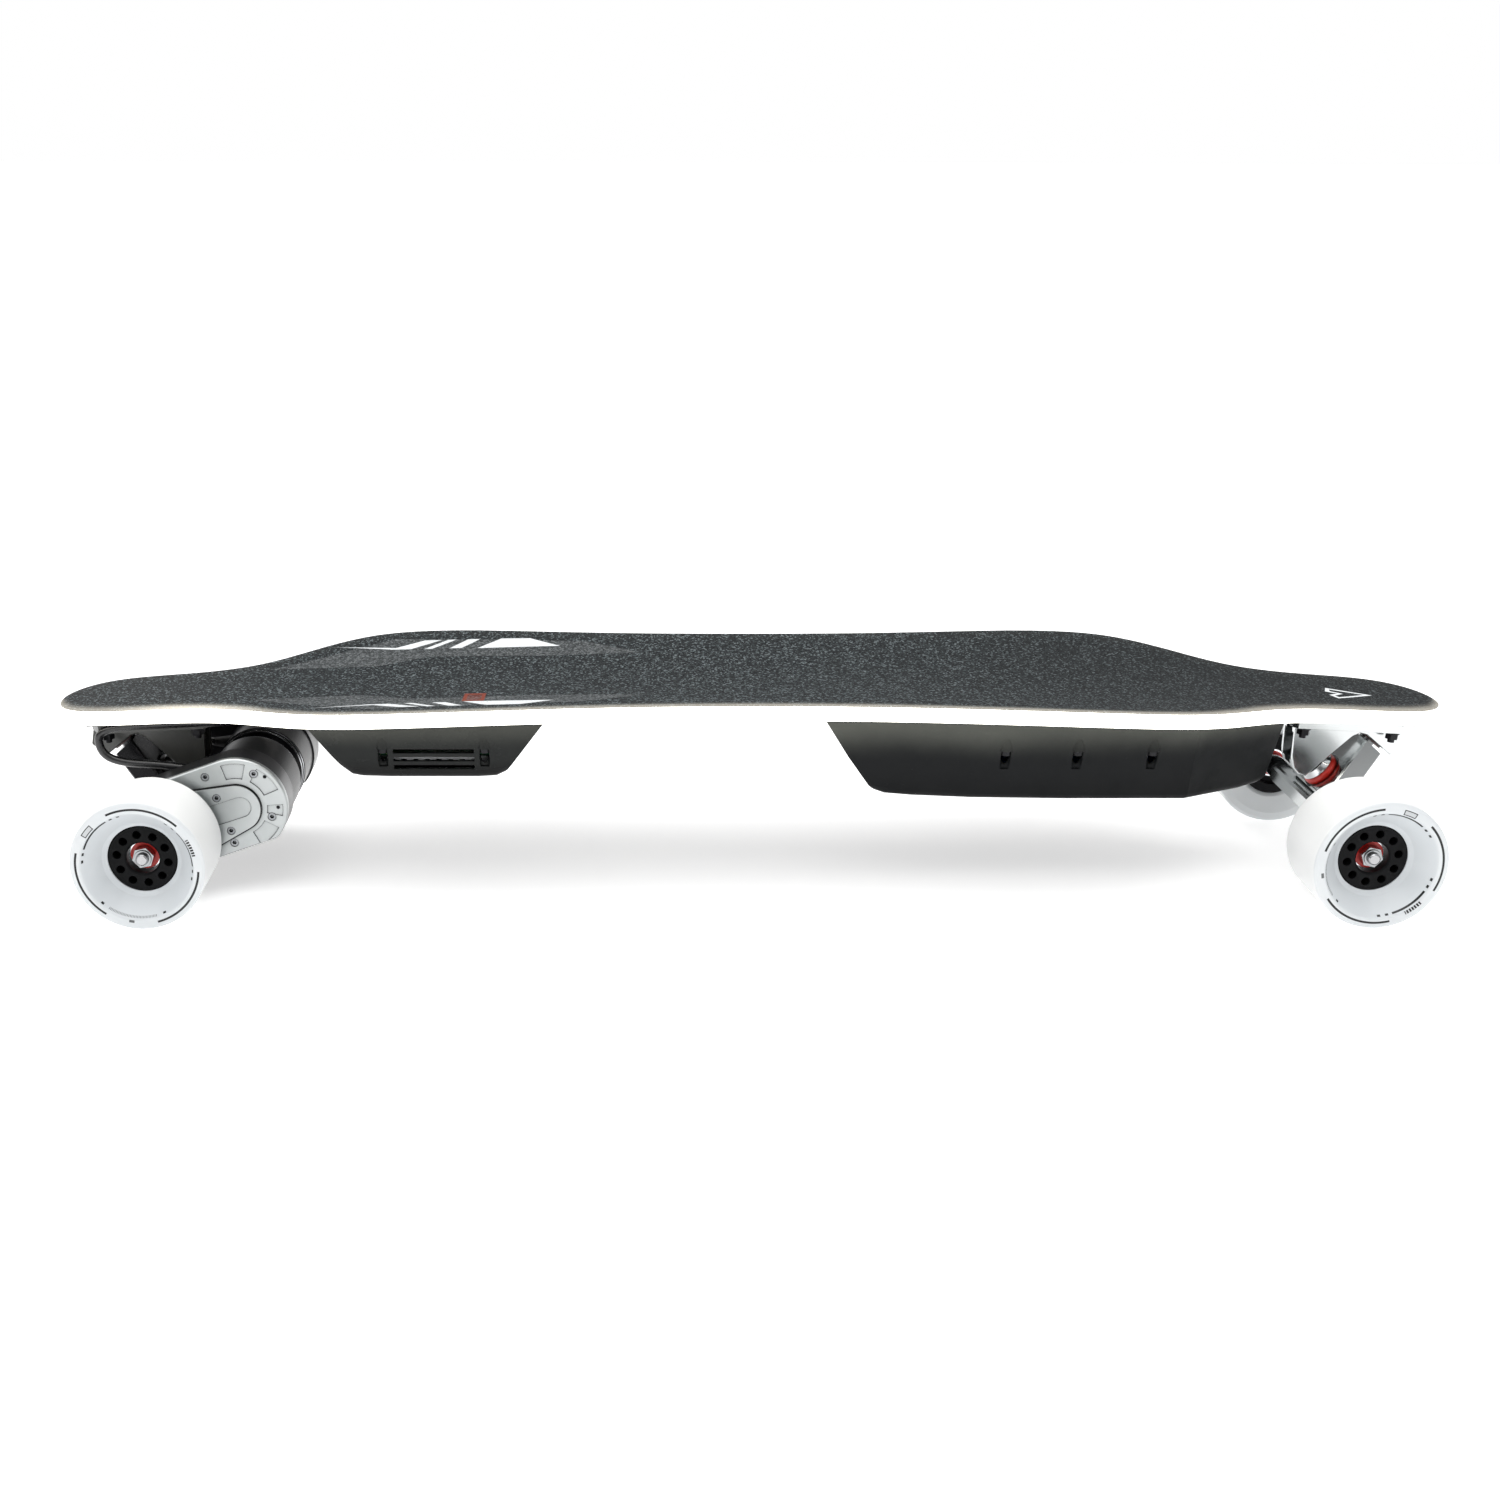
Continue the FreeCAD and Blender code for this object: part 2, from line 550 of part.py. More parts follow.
idler_tooth = DRIVE_ANGLE + 180 / TEETH["idler"]
idler_gear = gear(TEETH["idler"], idler_x, idler_z, idler_tooth, GEAR_Y[0], GEAR_Y[1])
idler_gear = idler_gear.cut(cylinder(IDLER_PIN_R + 0.04, 30, V(idler_x, 40, idler_z), Y_AXIS))
pinion = gear(TEETH["pinion"], motor_x, motor_z, DRIVE_ANGLE, GEAR_Y[0], GEAR_Y[1])
pinion = pinion.cut(cylinder(SHAFT_R, 30, V(motor_x, 40, motor_z), Y_AXIS))


# ------------------------------------------------------------ gear housing
def from_axle(dx, dz):
    return (-AXLE_X + dx, AXLE_Z + dz)


def housing_outline(y0, y1):
    """Round at the motor end and at the axle, straight along the lower side."""
    slab = hull_of_circles((-AXLE_X, AXLE_Z), HOUSING_END_R, from_axle(*HOUSING_END), HOUSING_END_R, y0, y1)
    below = box(-100, 150, y0 - 1, y1 + 1, -100, -HOUSING_LOW)
    below.rotate(V(0, 0, 0), Y_AXIS, -DRIVE_ANGLE)
    below.translate(V(-AXLE_X, 0, AXLE_Z))
    slab = slab.cut(below)
    corners = [e for e in slab.Edges if abs(e.Length - (y1 - y0)) < 0.01
               and (e.CenterOfMass - V(-AXLE_X, (y0 + y1) / 2, AXLE_Z)).z < 0]
    return slab.makeFillet(7.0, corners)


COVER_SCREWS = ((34.9, 41.9), (68.2, 44.2), (79.0, 13.0), (51.9, -6.2), (-21.9, 21.4), (-15.0, -27.0))
INNER_SCREWS = ((42.0, 27.1), (50.5, 3.2))
DOWEL_HOLES = ((75.7, 42.1), (83.6, 19.8))

cavity = hull_of_circles((-AXLE_X, AXLE_Z), 27.6, (motor_x, motor_z), 17.0,
                         HOUSING_Y[0] + HOUSING_WALL, HOUSING_Y[1])
housing = housing_outline(HOUSING_Y[0], HOUSING_Y[1]).cut(cavity)
idler_pin = cylinder(IDLER_PIN_R, HOUSING_Y[1] - HOUSING_Y[0], V(idler_x, HOUSING_Y[0], idler_z), Y_AXIS)
housing = housing.fuse(idler_pin)
housing = housing.cut(cylinder(6.0, 10, V(motor_x, HOUSING_Y[0] - 2, motor_z), Y_AXIS))
housing = housing.cut(mirrored_y(rear_hanger)).cut(cylinder(END_R, 40, V(-AXLE_X, 35, AXLE_Z), Y_AXIS))
housing = housing.removeSplitter()

RAISED_END = (55.2, 19.5)
cover = housing_outline(COVER_Y[0], COVER_Y[1])
raised = hull_of_circles((-AXLE_X, AXLE_Z), 27.8, from_axle(*RAISED_END), 16.6, COVER_Y[1] - 1.5, COVER_Y[2])
groove = hull_of_circles((-AXLE_X, AXLE_Z), 28.8, from_axle(*RAISED_END), 17.6, COVER_Y[1] - 0.7, COVER_Y[1])
cover_edge = [e for e in cover.Edges if abs(e.CenterOfMass.y - COVER_Y[1]) < 0.01]
cover = cover.makeChamfer(0.9, cover_edge)
cover = cover.cut(groove.cut(raised)).fuse(raised)
cover = cover.cut(cylinder(HUB_R + 0.8, 20, V(-AXLE_X, 55, AXLE_Z), Y_AXIS))

# shallow pockets milled around the rim of the cover between its screws
POCKET_DEPTH = 0.6
POCKETS = ((24, 62), (77, 108), (-62, -28), (-12, 4))
rim_centre = from_axle(*HOUSING_END)
for first, last in POCKETS:
    ring = tube(31.6, 20.6, 5, V(rim_centre[0], COVER_Y[1] - POCKET_DEPTH, rim_centre[1]), Y_AXIS)
    wedge = [V(rim_centre[0], COVER_Y[1] - POCKET_DEPTH, rim_centre[1])]
    for step in range(5):
        angle = math.radians(first + (last - first) * step / 4)
        wedge.append(wedge[0] + V(60 * math.cos(angle), 0, 60 * math.sin(angle)))
    sector = polygon_face(wedge).extrude(V(0, 5, 0))
    cover = cover.cut(ring.common(sector))
web_pocket = hull_of_circles(from_axle(30, 11), 7.5, from_axle(58, 20.5), 7.5,
                             COVER_Y[2] - 0.5, COVER_Y[2] + 1)
cover = cover.cut(web_pocket)


def cover_screw(dx, dz, face_y):
    """Socket screw sunk in the cover: its head, its shank and the hole for both."""
    x, z = from_axle(dx, dz)
    head = cylinder(2.75, 3.0, V(x, face_y - 3.4, z), Y_AXIS)
    shank = cylinder(1.5, face_y - 3.4 - 52, V(x, 52, z), Y_AXIS)
    socket = hex_prism(2.6, 3, V(x, face_y - 2.2, z), Y_AXIS)
    head_hole = cylinder(3.0, 6, V(x, face_y - 3.4, z), Y_AXIS)
    shank_hole = cylinder(1.52, 30, V(x, 50, z), Y_AXIS)
    return fused([head, shank]).cut(socket), head_hole, shank_hole


screws = []
for places, face_y in ((COVER_SCREWS, COVER_Y[1]), (INNER_SCREWS, COVER_Y[2])):
    for dx, dz in places:
        screw, head_hole, shank_hole = cover_screw(dx, dz, face_y)
        if places is INNER_SCREWS:
            screw = screw.cut(box(-500, 0, 40, COVER_Y[0] + 0.1, 0, 200))
        else:
            housing = housing.cut(shank_hole)
        cover = cover.cut(head_hole).cut(shank_hole)
        screws.append(screw)
for dx, dz in DOWEL_HOLES:
    x, z = from_axle(dx, dz)
    cover = cover.cut(cylinder(1.25, 6, V(x, COVER_Y[1] - 2.5, z), Y_AXIS))
gearbox_housings = both_sides(housing)
gearbox_covers = both_sides(cover)
gearbox_screws = both_sides(group(screws))

# -------------------------------------------------------------------- motors
CAN_WALL = 2.4
can_profile = [(0, MOTOR_Y[0]), (MOTOR_R - 5, MOTOR_Y[0]), (MOTOR_R - 1.2, MOTOR_Y[0] + 3.2),
               (MOTOR_R - 1.2, MOTOR_Y[0] + 6.0), (MOTOR_R, MOTOR_Y[0] + 7.0), (MOTOR_R, MOTOR_Y[1]),
               (MOTOR_R - CAN_WALL, MOTOR_Y[1]), (MOTOR_R - CAN_WALL, MOTOR_Y[0] + 7.0),
               (MOTOR_R - 6.5, MOTOR_Y[0] + 2.6), (SHAFT_R + 0.06, MOTOR_Y[0] + 2.6),
               (SHAFT_R + 0.06, MOTOR_Y[0] + 1.2), (0, MOTOR_Y[0] + 1.2)]
motor_can = turned(can_profile, motor_x, motor_z)
motor_cans = both_sides(motor_can)
stator = tube(MOTOR_R - CAN_WALL, 17.2, 28, V(motor_x, 13, motor_z), Y_AXIS)
for k in range(12):
    angle = math.radians(30 * k)
    slot = cylinder(2.6, 40, V(motor_x + 21.5 * math.cos(angle), 5, motor_z + 21.5 * math.sin(angle)), Y_AXIS)
    stator = stator.cut(slot)
motor_stators = both_sides(stator)
shaft_start = MOTOR_Y[0] + 1.6
shaft = cylinder(SHAFT_R - 0.02, GEAR_Y[1] + 1.5 - shaft_start, V(motor_x, shaft_start, motor_z), Y_AXIS)
rotor = fused([cylinder(16.6, 30, V(motor_x, 12, motor_z), Y_AXIS), shaft])

# ------------------------------------------------------------- motor leads
LEAD_Y = 31.5
GLAND_X = -391.5
GROMMET_X = (-303.5, -293.5)
GROMMET_R = 4.1
LEAD_POINTS = [(GLAND_X, 79.6), (-412.0, 83.2), (-445.5, 84.8), (-458.6, 92.6), (-458.6, 110.0),
               (-421.0, 112.9), (-362.0, 115.3), (-326.0, 116.2), (-285.0, 116.6)]
LEAD_RADII = {1: 40.0, 2: 18.0, 3: 9.0, 4: 7.0, 5: 60.0, 6: 90.0, 7: 90.0}


def rounded_path(points, radii):
    """Straight runs joined by tangent arcs, through points of the XZ plane."""
    nodes = [V(x, LEAD_Y, z) for x, z in points]
    edges = []
    start = nodes[0]
    for k in range(1, len(nodes) - 1):
        before = (nodes[k - 1] - nodes[k]).normalize()
        after = (nodes[k + 1] - nodes[k]).normalize()
        half = before.getAngle(after) / 2
        setback = radii[k] / math.tan(half)
        arc_in = nodes[k] + before * setback
        arc_out = nodes[k] + after * setback
        bisector = (before + after).normalize()
        middle = nodes[k] + bisector * (radii[k] / math.sin(half) - radii[k])
        edges.append(Part.LineSegment(start, arc_in).toShape())
        edges.append(Part.Arc(arc_in, middle, arc_out).toShape())
        start = arc_out
    edges.append(Part.LineSegment(start, nodes[-1]).toShape())
    return Part.Wire(edges)


lead_path = rounded_path(LEAD_POINTS, LEAD_RADII)
print("lead arc radii", [round(e.Curve.Radius, 2) for e in lead_path.Edges if hasattr(e.Curve, "Radius")])
lead_start = lead_path.Edges[0]
lead_section = Part.Wire(Part.makeCircle(LEAD_R, V(GLAND_X, LEAD_Y, LEAD_POINTS[0][1]),
                                         lead_start.tangentAt(lead_start.FirstParameter)))
lead = lead_path.makePipeShell([lead_section], True, False)
print("lead length", round(lead_path.Length, 1), "volume ratio",
      round(lead.Volume / (math.pi * LEAD_R ** 2 * lead_path.Length), 4))
motor_leads = both_sides(lead)

gland_z = LEAD_POINTS[0][1]
gland = Part.makeCone(3.3, 5.2, 14, V(GLAND_X, LEAD_Y, gland_z), X_AXIS)
gland = gland.cut(cylinder(MOTOR_R, 60, V(motor_x, 0, motor_z), Y_AXIS))
gland = gland.cut(lead)
lead_glands = both_sides(gland)
grommet_z = LEAD_POINTS[-1][1] - 0.25
grommet = tube(GROMMET_R, LEAD_R + 0.05, GROMMET_X[1] - GROMMET_X[0],
               V(GROMMET_X[0], LEAD_Y, grommet_z), X_AXIS)
lead_grommets = both_sides(grommet)

# ------------------------------------------------------------- enclosures
WALL = 2.6
GASKET_T = 1.0
# side outlines (x, z), plan half widths at the bottom (x, half width) and bottom heights
SIDE_LEAN = 0.278               # the side walls lean outwards towards the deck
TUB_CORNER_R = 7.0
BATTERY_SIDE = [(45, 132), (62, 104), (78, 80.5), (82.5, 76.4), (89, 73.8), (108, 72), (150, 70),
                (215, 69), (340, 69), (354, 70.6), (362, 77), (366.5, 111), (370, 132)]
BATTERY_PLAN = ((20, 66.2), (298, 66.2), (385, 23.7))
BATTERY_BOTTOM = 69.0
ESC_SIDE = [(-304.5, 128), (-281, 93.2), (-276.5, 89.2), (-269, 87.6), (-250, 87), (-190, 87), (-177.5, 87.8),
            (-171.5, 91), (-144.5, 130)]
ESC_PLAN = ((-330, 71), (-120, 71))
ESC_BOTTOM = 87.2


def tub(side, plan, bottom, inset):
    """Solid tub with leaning sides, inset evenly; its top stands above the deck's underside."""
    outline = Part.makePolygon([V(x, -120, z) for x, z in side] + [V(side[0][0], -120, side[0][1])])
    if inset:
        outline = outline.makeOffset2D(-inset, 2)
    lengthwise = Part.Face(outline).extrude(V(0, 240, 0))

    def plan_wire(z):
        grow = SIDE_LEAN * (z - bottom) - inset * math.hypot(1, SIDE_LEAN)
        left = [V(x, half + grow, z) for x, half in plan]
        right = [V(p.x, -p.y, z) for p in reversed(left)]
        return Part.makePolygon(left + right + [left[0]])

    walls = Part.makeLoft([plan_wire(bottom - 5), plan_wire(140)], True, True)
    whole = walls.common(lengthwise)
    low_edges = []
    for edge in whole.Edges:
        ends = [v.Point for v in edge.Vertexes]
        runs_along = abs(ends[0].y - ends[-1].y) < 35 and abs(ends[0].x - ends[-1].x) > 3
        if runs_along and max(p.z for p in ends) < bottom + 8 and min(abs(p.y) for p in ends) > 20:
            low_edges.append(edge)
    return whole.makeFillet(TUB_CORNER_R - inset, low_edges)


def enclosure(side, plan, bottom):
    outer = tub(side, plan, bottom, 0)
    inner = tub(side, plan, bottom, WALL)
    opening = inner.common(box(-500, 500, -200, 200, 124, 140))
    opening.translate(V(0, 0, 3))
    return outer, inner, outer.cut(inner).cut(opening)


under_deck = deck_band(DECK_T, DECK_T + GASKET_T)
above_gasket = deck_band(-60, DECK_T + GASKET_T)
SCREW_Z = {"battery": 108.5, "esc": 110.5}
SCREW_X = {"battery": (169.0, 218.0, 269.0), "esc": (-254.0, -185.0)}
BOSS_Y = 75.2
BOSS_R = 4.6


def enclosure_with_bosses(name, side, plan, bottom):
    outer, inner, shell = enclosure(side, plan, bottom)
    screws = []
    for x in SCREW_X[name]:
        for y in (BOSS_Y, -BOSS_Y):
            foot = V(x, y, SCREW_Z[name])
            shell = shell.fuse(cylinder(BOSS_R, 30, foot, Z_AXIS))
            shell = shell.cut(cylinder(3.5, 14, foot - Z_AXIS * 14, Z_AXIS))
            shell = shell.cut(cylinder(1.8, 40, foot - Z_AXIS, Z_AXIS))
            screws.append(fused([cylinder(3.1, 3.2, foot - Z_AXIS * 3.2, Z_AXIS),
                                 cylinder(1.75, 25, foot, Z_AXIS)]))
    return outer, inner, shell, screws


battery_outer, battery_inner, battery_shell, battery_screws = enclosure_with_bosses(
    "battery", BATTERY_SIDE, BATTERY_PLAN, BATTERY_BOTTOM)
esc_outer, esc_inner, esc_shell, esc_screws = enclosure_with_bosses("esc", ESC_SIDE, ESC_PLAN, ESC_BOTTOM)
gaskets = []
for name, outer, inner in (("battery", battery_outer, battery_inner), ("esc", esc_outer, esc_inner)):
    ring = outer.cut(inner).common(under_deck)
    for x in SCREW_X[name]:
        for y in (BOSS_Y, -BOSS_Y):
            ring = ring.cut(cylinder(1.8, 60, V(x, y, 100), Z_AXIS))
    gaskets.append(ring)
enclosure_gaskets = group([solid for ring in gaskets for solid in ring.Solids])
battery_enclosure = battery_shell.cut(above_gasket)
enclosure_screws = group(battery_screws + esc_screws)
for screw in battery_screws + esc_screws:
    centre = screw.BoundBox.Center
    deck_core = deck_core.cut(cylinder(1.75, 60, V(centre.x, centre.y, 100), Z_AXIS))

# louvres on both long sides of the motor controller's enclosure
LOUVRE_X = (-247.0, -192.0)
LOUVRE_Z = (94.4, 100.6, 106.8)
LOUVRE_H = 3.2
esc_enclosure = esc_shell.cut(above_gasket)
for z in LOUVRE_Z:
    esc_enclosure = esc_enclosure.cut(box(LOUVRE_X[0], LOUVRE_X[1], -90, -60, z, z + LOUVRE_H))
    esc_enclosure = esc_enclosure.cut(box(LOUVRE_X[0], LOUVRE_X[1], 60, 90, z, z + LOUVRE_H))
for y in (LEAD_Y, -LEAD_Y):
    esc_enclosure = esc_enclosure.cut(cylinder(GROMMET_R, 30, V(-315, y, grommet_z), X_AXIS))

# power button and charge socket on the sloping left wall of the controller's enclosure
WALL_OUT = V(0, 1, -SIDE_LEAN).normalize()


def on_esc_wall(x, z):
    return V(x, ESC_PLAN[0][1] + SIDE_LEAN * (z - ESC_BOTTOM), z)


BUTTON_R = 5.0
button_spot = on_esc_wall(-275, 110)
bezel = tube(8.0, BUTTON_R + 0.05, 1.4, button_spot, WALL_OUT)
bezel = bezel.fuse(tube(6.6, BUTTON_R + 0.05, 8, button_spot - WALL_OUT * 8, WALL_OUT)).removeSplitter()
esc_enclosure = esc_enclosure.cut(cylinder(6.6, 20, button_spot - WALL_OUT * 10, WALL_OUT))
power_button_bezel = bezel
button = cylinder(BUTTON_R, 7.0, button_spot - WALL_OUT * 5.2, WALL_OUT)
power_button = button.makeChamfer(0.5, [button.Edges[0]])

SOCKET_R = 4.25
SOCKET_DEPTH = 9.0
socket_spot = on_esc_wall(-167.5, 114)
charge_socket = fused([cylinder(8.5, 1.6, socket_spot, WALL_OUT),
                       cylinder(6.8, 11, socket_spot - WALL_OUT * 11, WALL_OUT)])
socket_floor = socket_spot + WALL_OUT * (1.6 - SOCKET_DEPTH)
charge_socket = charge_socket.cut(cylinder(SOCKET_R, SOCKET_DEPTH + 5, socket_floor, WALL_OUT))
esc_enclosure = esc_enclosure.cut(cylinder(6.8, 20, socket_spot - WALL_OUT * 12, WALL_OUT))

# ----------------------------------------------------------- inside the boxes
CELL_R = 9.2
CELL_L = 65.0
CELL_PITCH = 18.7
CELLS_X = 103.0
CELLS_Z = 77.0
cells = []
for column in range(3):
    for row in range(6):
        for layer in range(2):
            start = V(CELLS_X + (CELL_L + 1.0) * column, (row - 2.5) * CELL_PITCH,
                      CELLS_Z + CELL_R + layer * CELL_PITCH)
            cells.append(cylinder(CELL_R, CELL_L, start, X_AXIS))
battery_cells = group(cells)
management_board = box(314, 342, -38, 38, 92, 93.6)
for k in range(6):
    chip = box(318, 326, -36 + 12.5 * k, -29 + 12.5 * k, 93.6, 96.4)
    management_board = management_board.fuse(chip)
controller_board = box(-272, -178, -56, 56, 99, 100.6)
for k in range(6):
    capacitor = cylinder(5.0, 14, V(-262 + 15 * k, 38, 100.6), Z_AXIS)
    controller_board = controller_board.fuse(capacitor)
circuit_boards = group([management_board.removeSplitter(), controller_board.removeSplitter()])
heat_sink = box(-266, -184, -58, 58, 93.5, 98.9)
for k in range(9):
    heat_sink = heat_sink.cut(box(-260 + 8 * k, -256 + 8 * k, -60, 60, 90, 96.4))
controller_heat_sink = heat_sink

power_cable = deck_band(6.0, 10.0).common(box(CABLE_X[0] + 1, CABLE_X[1] - 1, -6, 6, 100, 160))

# ------------------------------------------------------------------- output
rear_left = {"driven_gear": driven_gear, "idler_gear": idler_gear, "pinion": pinion, "motor_rotor": rotor}
nodes = {
    "deck_core": deck_core, "grip_tape": grip_tape, "led_light_guide": led_light_guide,
    "battery_enclosure": battery_enclosure, "esc_enclosure": esc_enclosure,
    "enclosure_gaskets": enclosure_gaskets, "enclosure_screws": enclosure_screws,
    "battery_cells": battery_cells, "circuit_boards": circuit_boards,
    "controller_heat_sink": controller_heat_sink, "power_cable": power_cable,
    "power_button_bezel": power_button_bezel, "power_button": power_button,
    "charge_socket": charge_socket, "riser_pads": riser_pads,
    "front_baseplate": front_baseplate, "rear_baseplate": rear_baseplate,
    "deck_bolts": deck_bolts, "deck_nuts": deck_nuts, "kingpins": kingpins,
    "kingpin_nuts": kingpin_nuts, "cup_washers": cup_washers,
    "kingpin_bushings": kingpin_bushings,
    "pivot_bushings": pivot_bushings, "motor_leads": motor_leads,
    "lead_glands": lead_glands, "lead_grommets": lead_grommets,
    "front_hanger": front_hanger, "front_axle": front_axle, "front_axle_nuts": front_axle_nuts,
    "front_axle_rings": front_axle_rings,
    "rear_hanger": rear_hanger, "rear_axle": rear_axle, "rear_axle_nuts": rear_axle_nuts,
    "rear_axle_rings": rear_axle_rings,
    "gearbox_housings": gearbox_housings, "gearbox_covers": gearbox_covers,
    "gearbox_screws": gearbox_screws, "motor_cans": motor_cans, "motor_stators": motor_stators,
}
nodes.update(wheels)
for part_name, shape in rear_left.items():
    nodes["left_" + part_name] = shape
    nodes["right_" + part_name] = mirrored_y(shape)

os.makedirs("parts", exist_ok=True)
for name, shape in nodes.items():
    shape.exportStep("parts/" + name + ".step")
    solids = shape.Solids
    print(name, len(solids), "solids", "valid" if shape.isValid() else "NOT VALID",
          "volume", round(sum(s.Volume for s in solids)))
print(len(nodes), "nodes")
print("steering axis", tuple(round(c, 5) for c in S_DIR), "through", tuple(on_truck(KINGPIN_S, STEER_N)))
print("idler", round(idler_x, 4), round(idler_z, 4), "motor", round(motor_x, 4), round(motor_z, 4))
print("button", tuple(button_spot), "socket", tuple(socket_spot), "wall", tuple(WALL_OUT))
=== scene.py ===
import bpy
import math
from mathutils import Matrix, Vector


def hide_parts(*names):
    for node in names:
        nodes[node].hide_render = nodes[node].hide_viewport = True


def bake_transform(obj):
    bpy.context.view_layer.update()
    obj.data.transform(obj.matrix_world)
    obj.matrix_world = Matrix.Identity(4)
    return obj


# Electric skateboard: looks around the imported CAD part. Metres, +X to the nose, +Z up.

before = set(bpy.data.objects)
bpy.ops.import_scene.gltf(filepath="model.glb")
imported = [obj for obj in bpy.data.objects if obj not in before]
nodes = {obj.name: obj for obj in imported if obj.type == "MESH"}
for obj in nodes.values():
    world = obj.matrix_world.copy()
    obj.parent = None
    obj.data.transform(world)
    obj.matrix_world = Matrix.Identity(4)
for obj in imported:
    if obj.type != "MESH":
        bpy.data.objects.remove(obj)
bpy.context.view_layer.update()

MM = 0.001
AXLE_X = 0.41225            # front axle; the rear one is at -AXLE_X
AXLE_Z = 0.045
TRUCK_LEAN = math.radians(48.8)
KINGPIN_S = 20.4            # mm along the truck's line, from the axle to the kingpin
UPPER_BUSHING_N = (9.0, 19.4)       # mm across that line: hanger end, washer end
LOWER_BUSHING_N = (1.0, -12.1)
BUSHING_STEPS = 72

# printed marks on a tyre, radii in metres
THICK_ARC_R = 0.0405
THIN_ARC_R = 0.0363
PILL_R = 0.0396
BARS_R = 0.0389
TICKS_R = 0.0364
BLOCK_R = 0.0393
PRINT_SOFT = 0.0001

LEAD_RADIUS = 0.0029
LEAD_STEPS = 20
LEAD_Y = 0.0315

FLOOR_RADIUS = 60.0
CAMERA_PLACE = (-0.09397, -1.23244, 0.49693)
YAW, PITCH, ROLL = 0.0066, 0.3236, 0.0019
FOCAL = 1799.52             # pixels of the 1500-pixel frame
SHIFT = 120.0
FRAME_PIXELS = 1500
SENSOR = 36.0


# ------------------------------------------------------------------ node graphs
class Graph:
    """A material's node tree with short calls for the nodes used here."""

    def __init__(self, name):
        self.material = bpy.data.materials.new(name)
        self.material.use_nodes = True
        self.tree = self.material.node_tree
        self.tree.nodes.clear()
        self.bsdf = self.add("ShaderNodeBsdfPrincipled")
        output = self.add("ShaderNodeOutputMaterial")
        self.link(self.bsdf.outputs[0], output.inputs["Surface"])
        self.place = self.add("ShaderNodeTexCoord").outputs["Object"]
        axes = self.add("ShaderNodeSeparateXYZ")
        self.link(self.place, axes.inputs[0])
        self.x, self.y, self.z = axes.outputs

    def add(self, kind):
        return self.tree.nodes.new(kind)

    def link(self, source, target):
        self.tree.links.new(source, target)

    def feed(self, value, target):
        """Links a socket, or sets a number or a colour."""
        if isinstance(value, bpy.types.NodeSocket):
            self.link(value, target)
        elif isinstance(value, (tuple, list)) and len(value) == 3 and target.type == "RGBA":
            target.default_value = (*value, 1.0)
        else:
            target.default_value = value

    def math(self, operation, a, b=0.0, c=0.0):
        node = self.add("ShaderNodeMath")
        node.operation = operation
        for value, target in zip((a, b, c), node.inputs):
            self.feed(value, target)
        return node.outputs[0]

    def clamp(self, value, low, high):
        """0 at low, 1 at high, and a smooth step between."""
        node = self.add("ShaderNodeMapRange")
        node.interpolation_type = "SMOOTHSTEP"
        self.feed(value, node.inputs["Value"])
        node.inputs["From Min"].default_value = low
        node.inputs["From Max"].default_value = high
        return node.outputs[0]

    def mix(self, factor, a, b):
        node = self.add("ShaderNodeMix")
        node.data_type = "RGBA"
        self.feed(factor, node.inputs[0])
        self.feed(a, node.inputs[6])
        self.feed(b, node.inputs[7])
        return node.outputs[2]

    def blend(self, factor, a, b):
        node = self.add("ShaderNodeMix")
        self.feed(factor, node.inputs[0])
        self.feed(a, node.inputs[2])
        self.feed(b, node.inputs[3])
        return node.outputs[0]

    def stretched(self, x, y, z):
        node = self.add("ShaderNodeMapping")
        self.link(self.place, node.inputs[0])
        node.inputs["Scale"].default_value = (x, y, z)
        return node.outputs[0]

    def noise(self, scale, detail=3.0, place=None, rough=0.5):
        node = self.add("ShaderNodeTexNoise")
        self.link(place or self.place, node.inputs["Vector"])
        node.inputs["Scale"].default_value = scale
        node.inputs["Detail"].default_value = detail
        node.inputs["Roughness"].default_value = rough
        return node.outputs[0]

    def cells(self, scale, feature="F1"):
        node = self.add("ShaderNodeTexVoronoi")
        node.feature = feature
        self.link(self.place, node.inputs["Vector"])
        node.inputs["Scale"].default_value = scale
        return node

    def ramp(self, factor, stops):
        node = self.add("ShaderNodeValToRGB")
        self.feed(factor, node.inputs[0])
        marks = node.color_ramp.elements
        while len(marks) < len(stops):
            marks.new(0.5)
        for mark, (position, colour) in zip(marks, stops):
            mark.position = position
            mark.color = (*colour, 1.0)
        return node.outputs[0]

    def bump(self, height, strength, distance, normal=None):
        node = self.add("ShaderNodeBump")
        self.feed(height, node.inputs["Height"])
        self.feed(strength, node.inputs["Strength"])
        node.inputs["Distance"].default_value = distance
        if normal is not None:
            self.link(normal, node.inputs["Normal"])
        return node.outputs[0]

    def set(self, **values):
        """Sets the surface's inputs: base, metallic, roughness, normal and so on."""
        names = {"base": "Base Color", "metallic": "Metallic", "roughness": "Roughness", "normal": "Normal",
                 "coat": "Coat Weight", "coat_roughness": "Coat Roughness", "glow": "Emission Color",
                 "glow_strength": "Emission Strength", "specular": "Specular IOR Level",
                 "subsurface": "Subsurface Weight", "anisotropic": "Anisotropic"}
        for key, value in values.items():
            self.feed(value, self.bsdf.inputs[names[key]])
        return self.material

    def rounded(self, radius):
        """Normal with every edge rounded over by radius."""
        node = self.add("ShaderNodeBevel")
        node.samples = 4
        node.inputs["Radius"].default_value = radius
        return node.outputs[0]

    def corner_shade(self, distance, low=0.25, high=0.9):
        """1 deep in a corner, 0 in the open; it marks where shade is painted into corners."""
        node = self.add("ShaderNodeAmbientOcclusion")
        node.samples = 6
        node.inputs["Distance"].default_value = distance
        return self.math("SUBTRACT", 1.0, self.clamp(node.outputs["AO"], low, high))

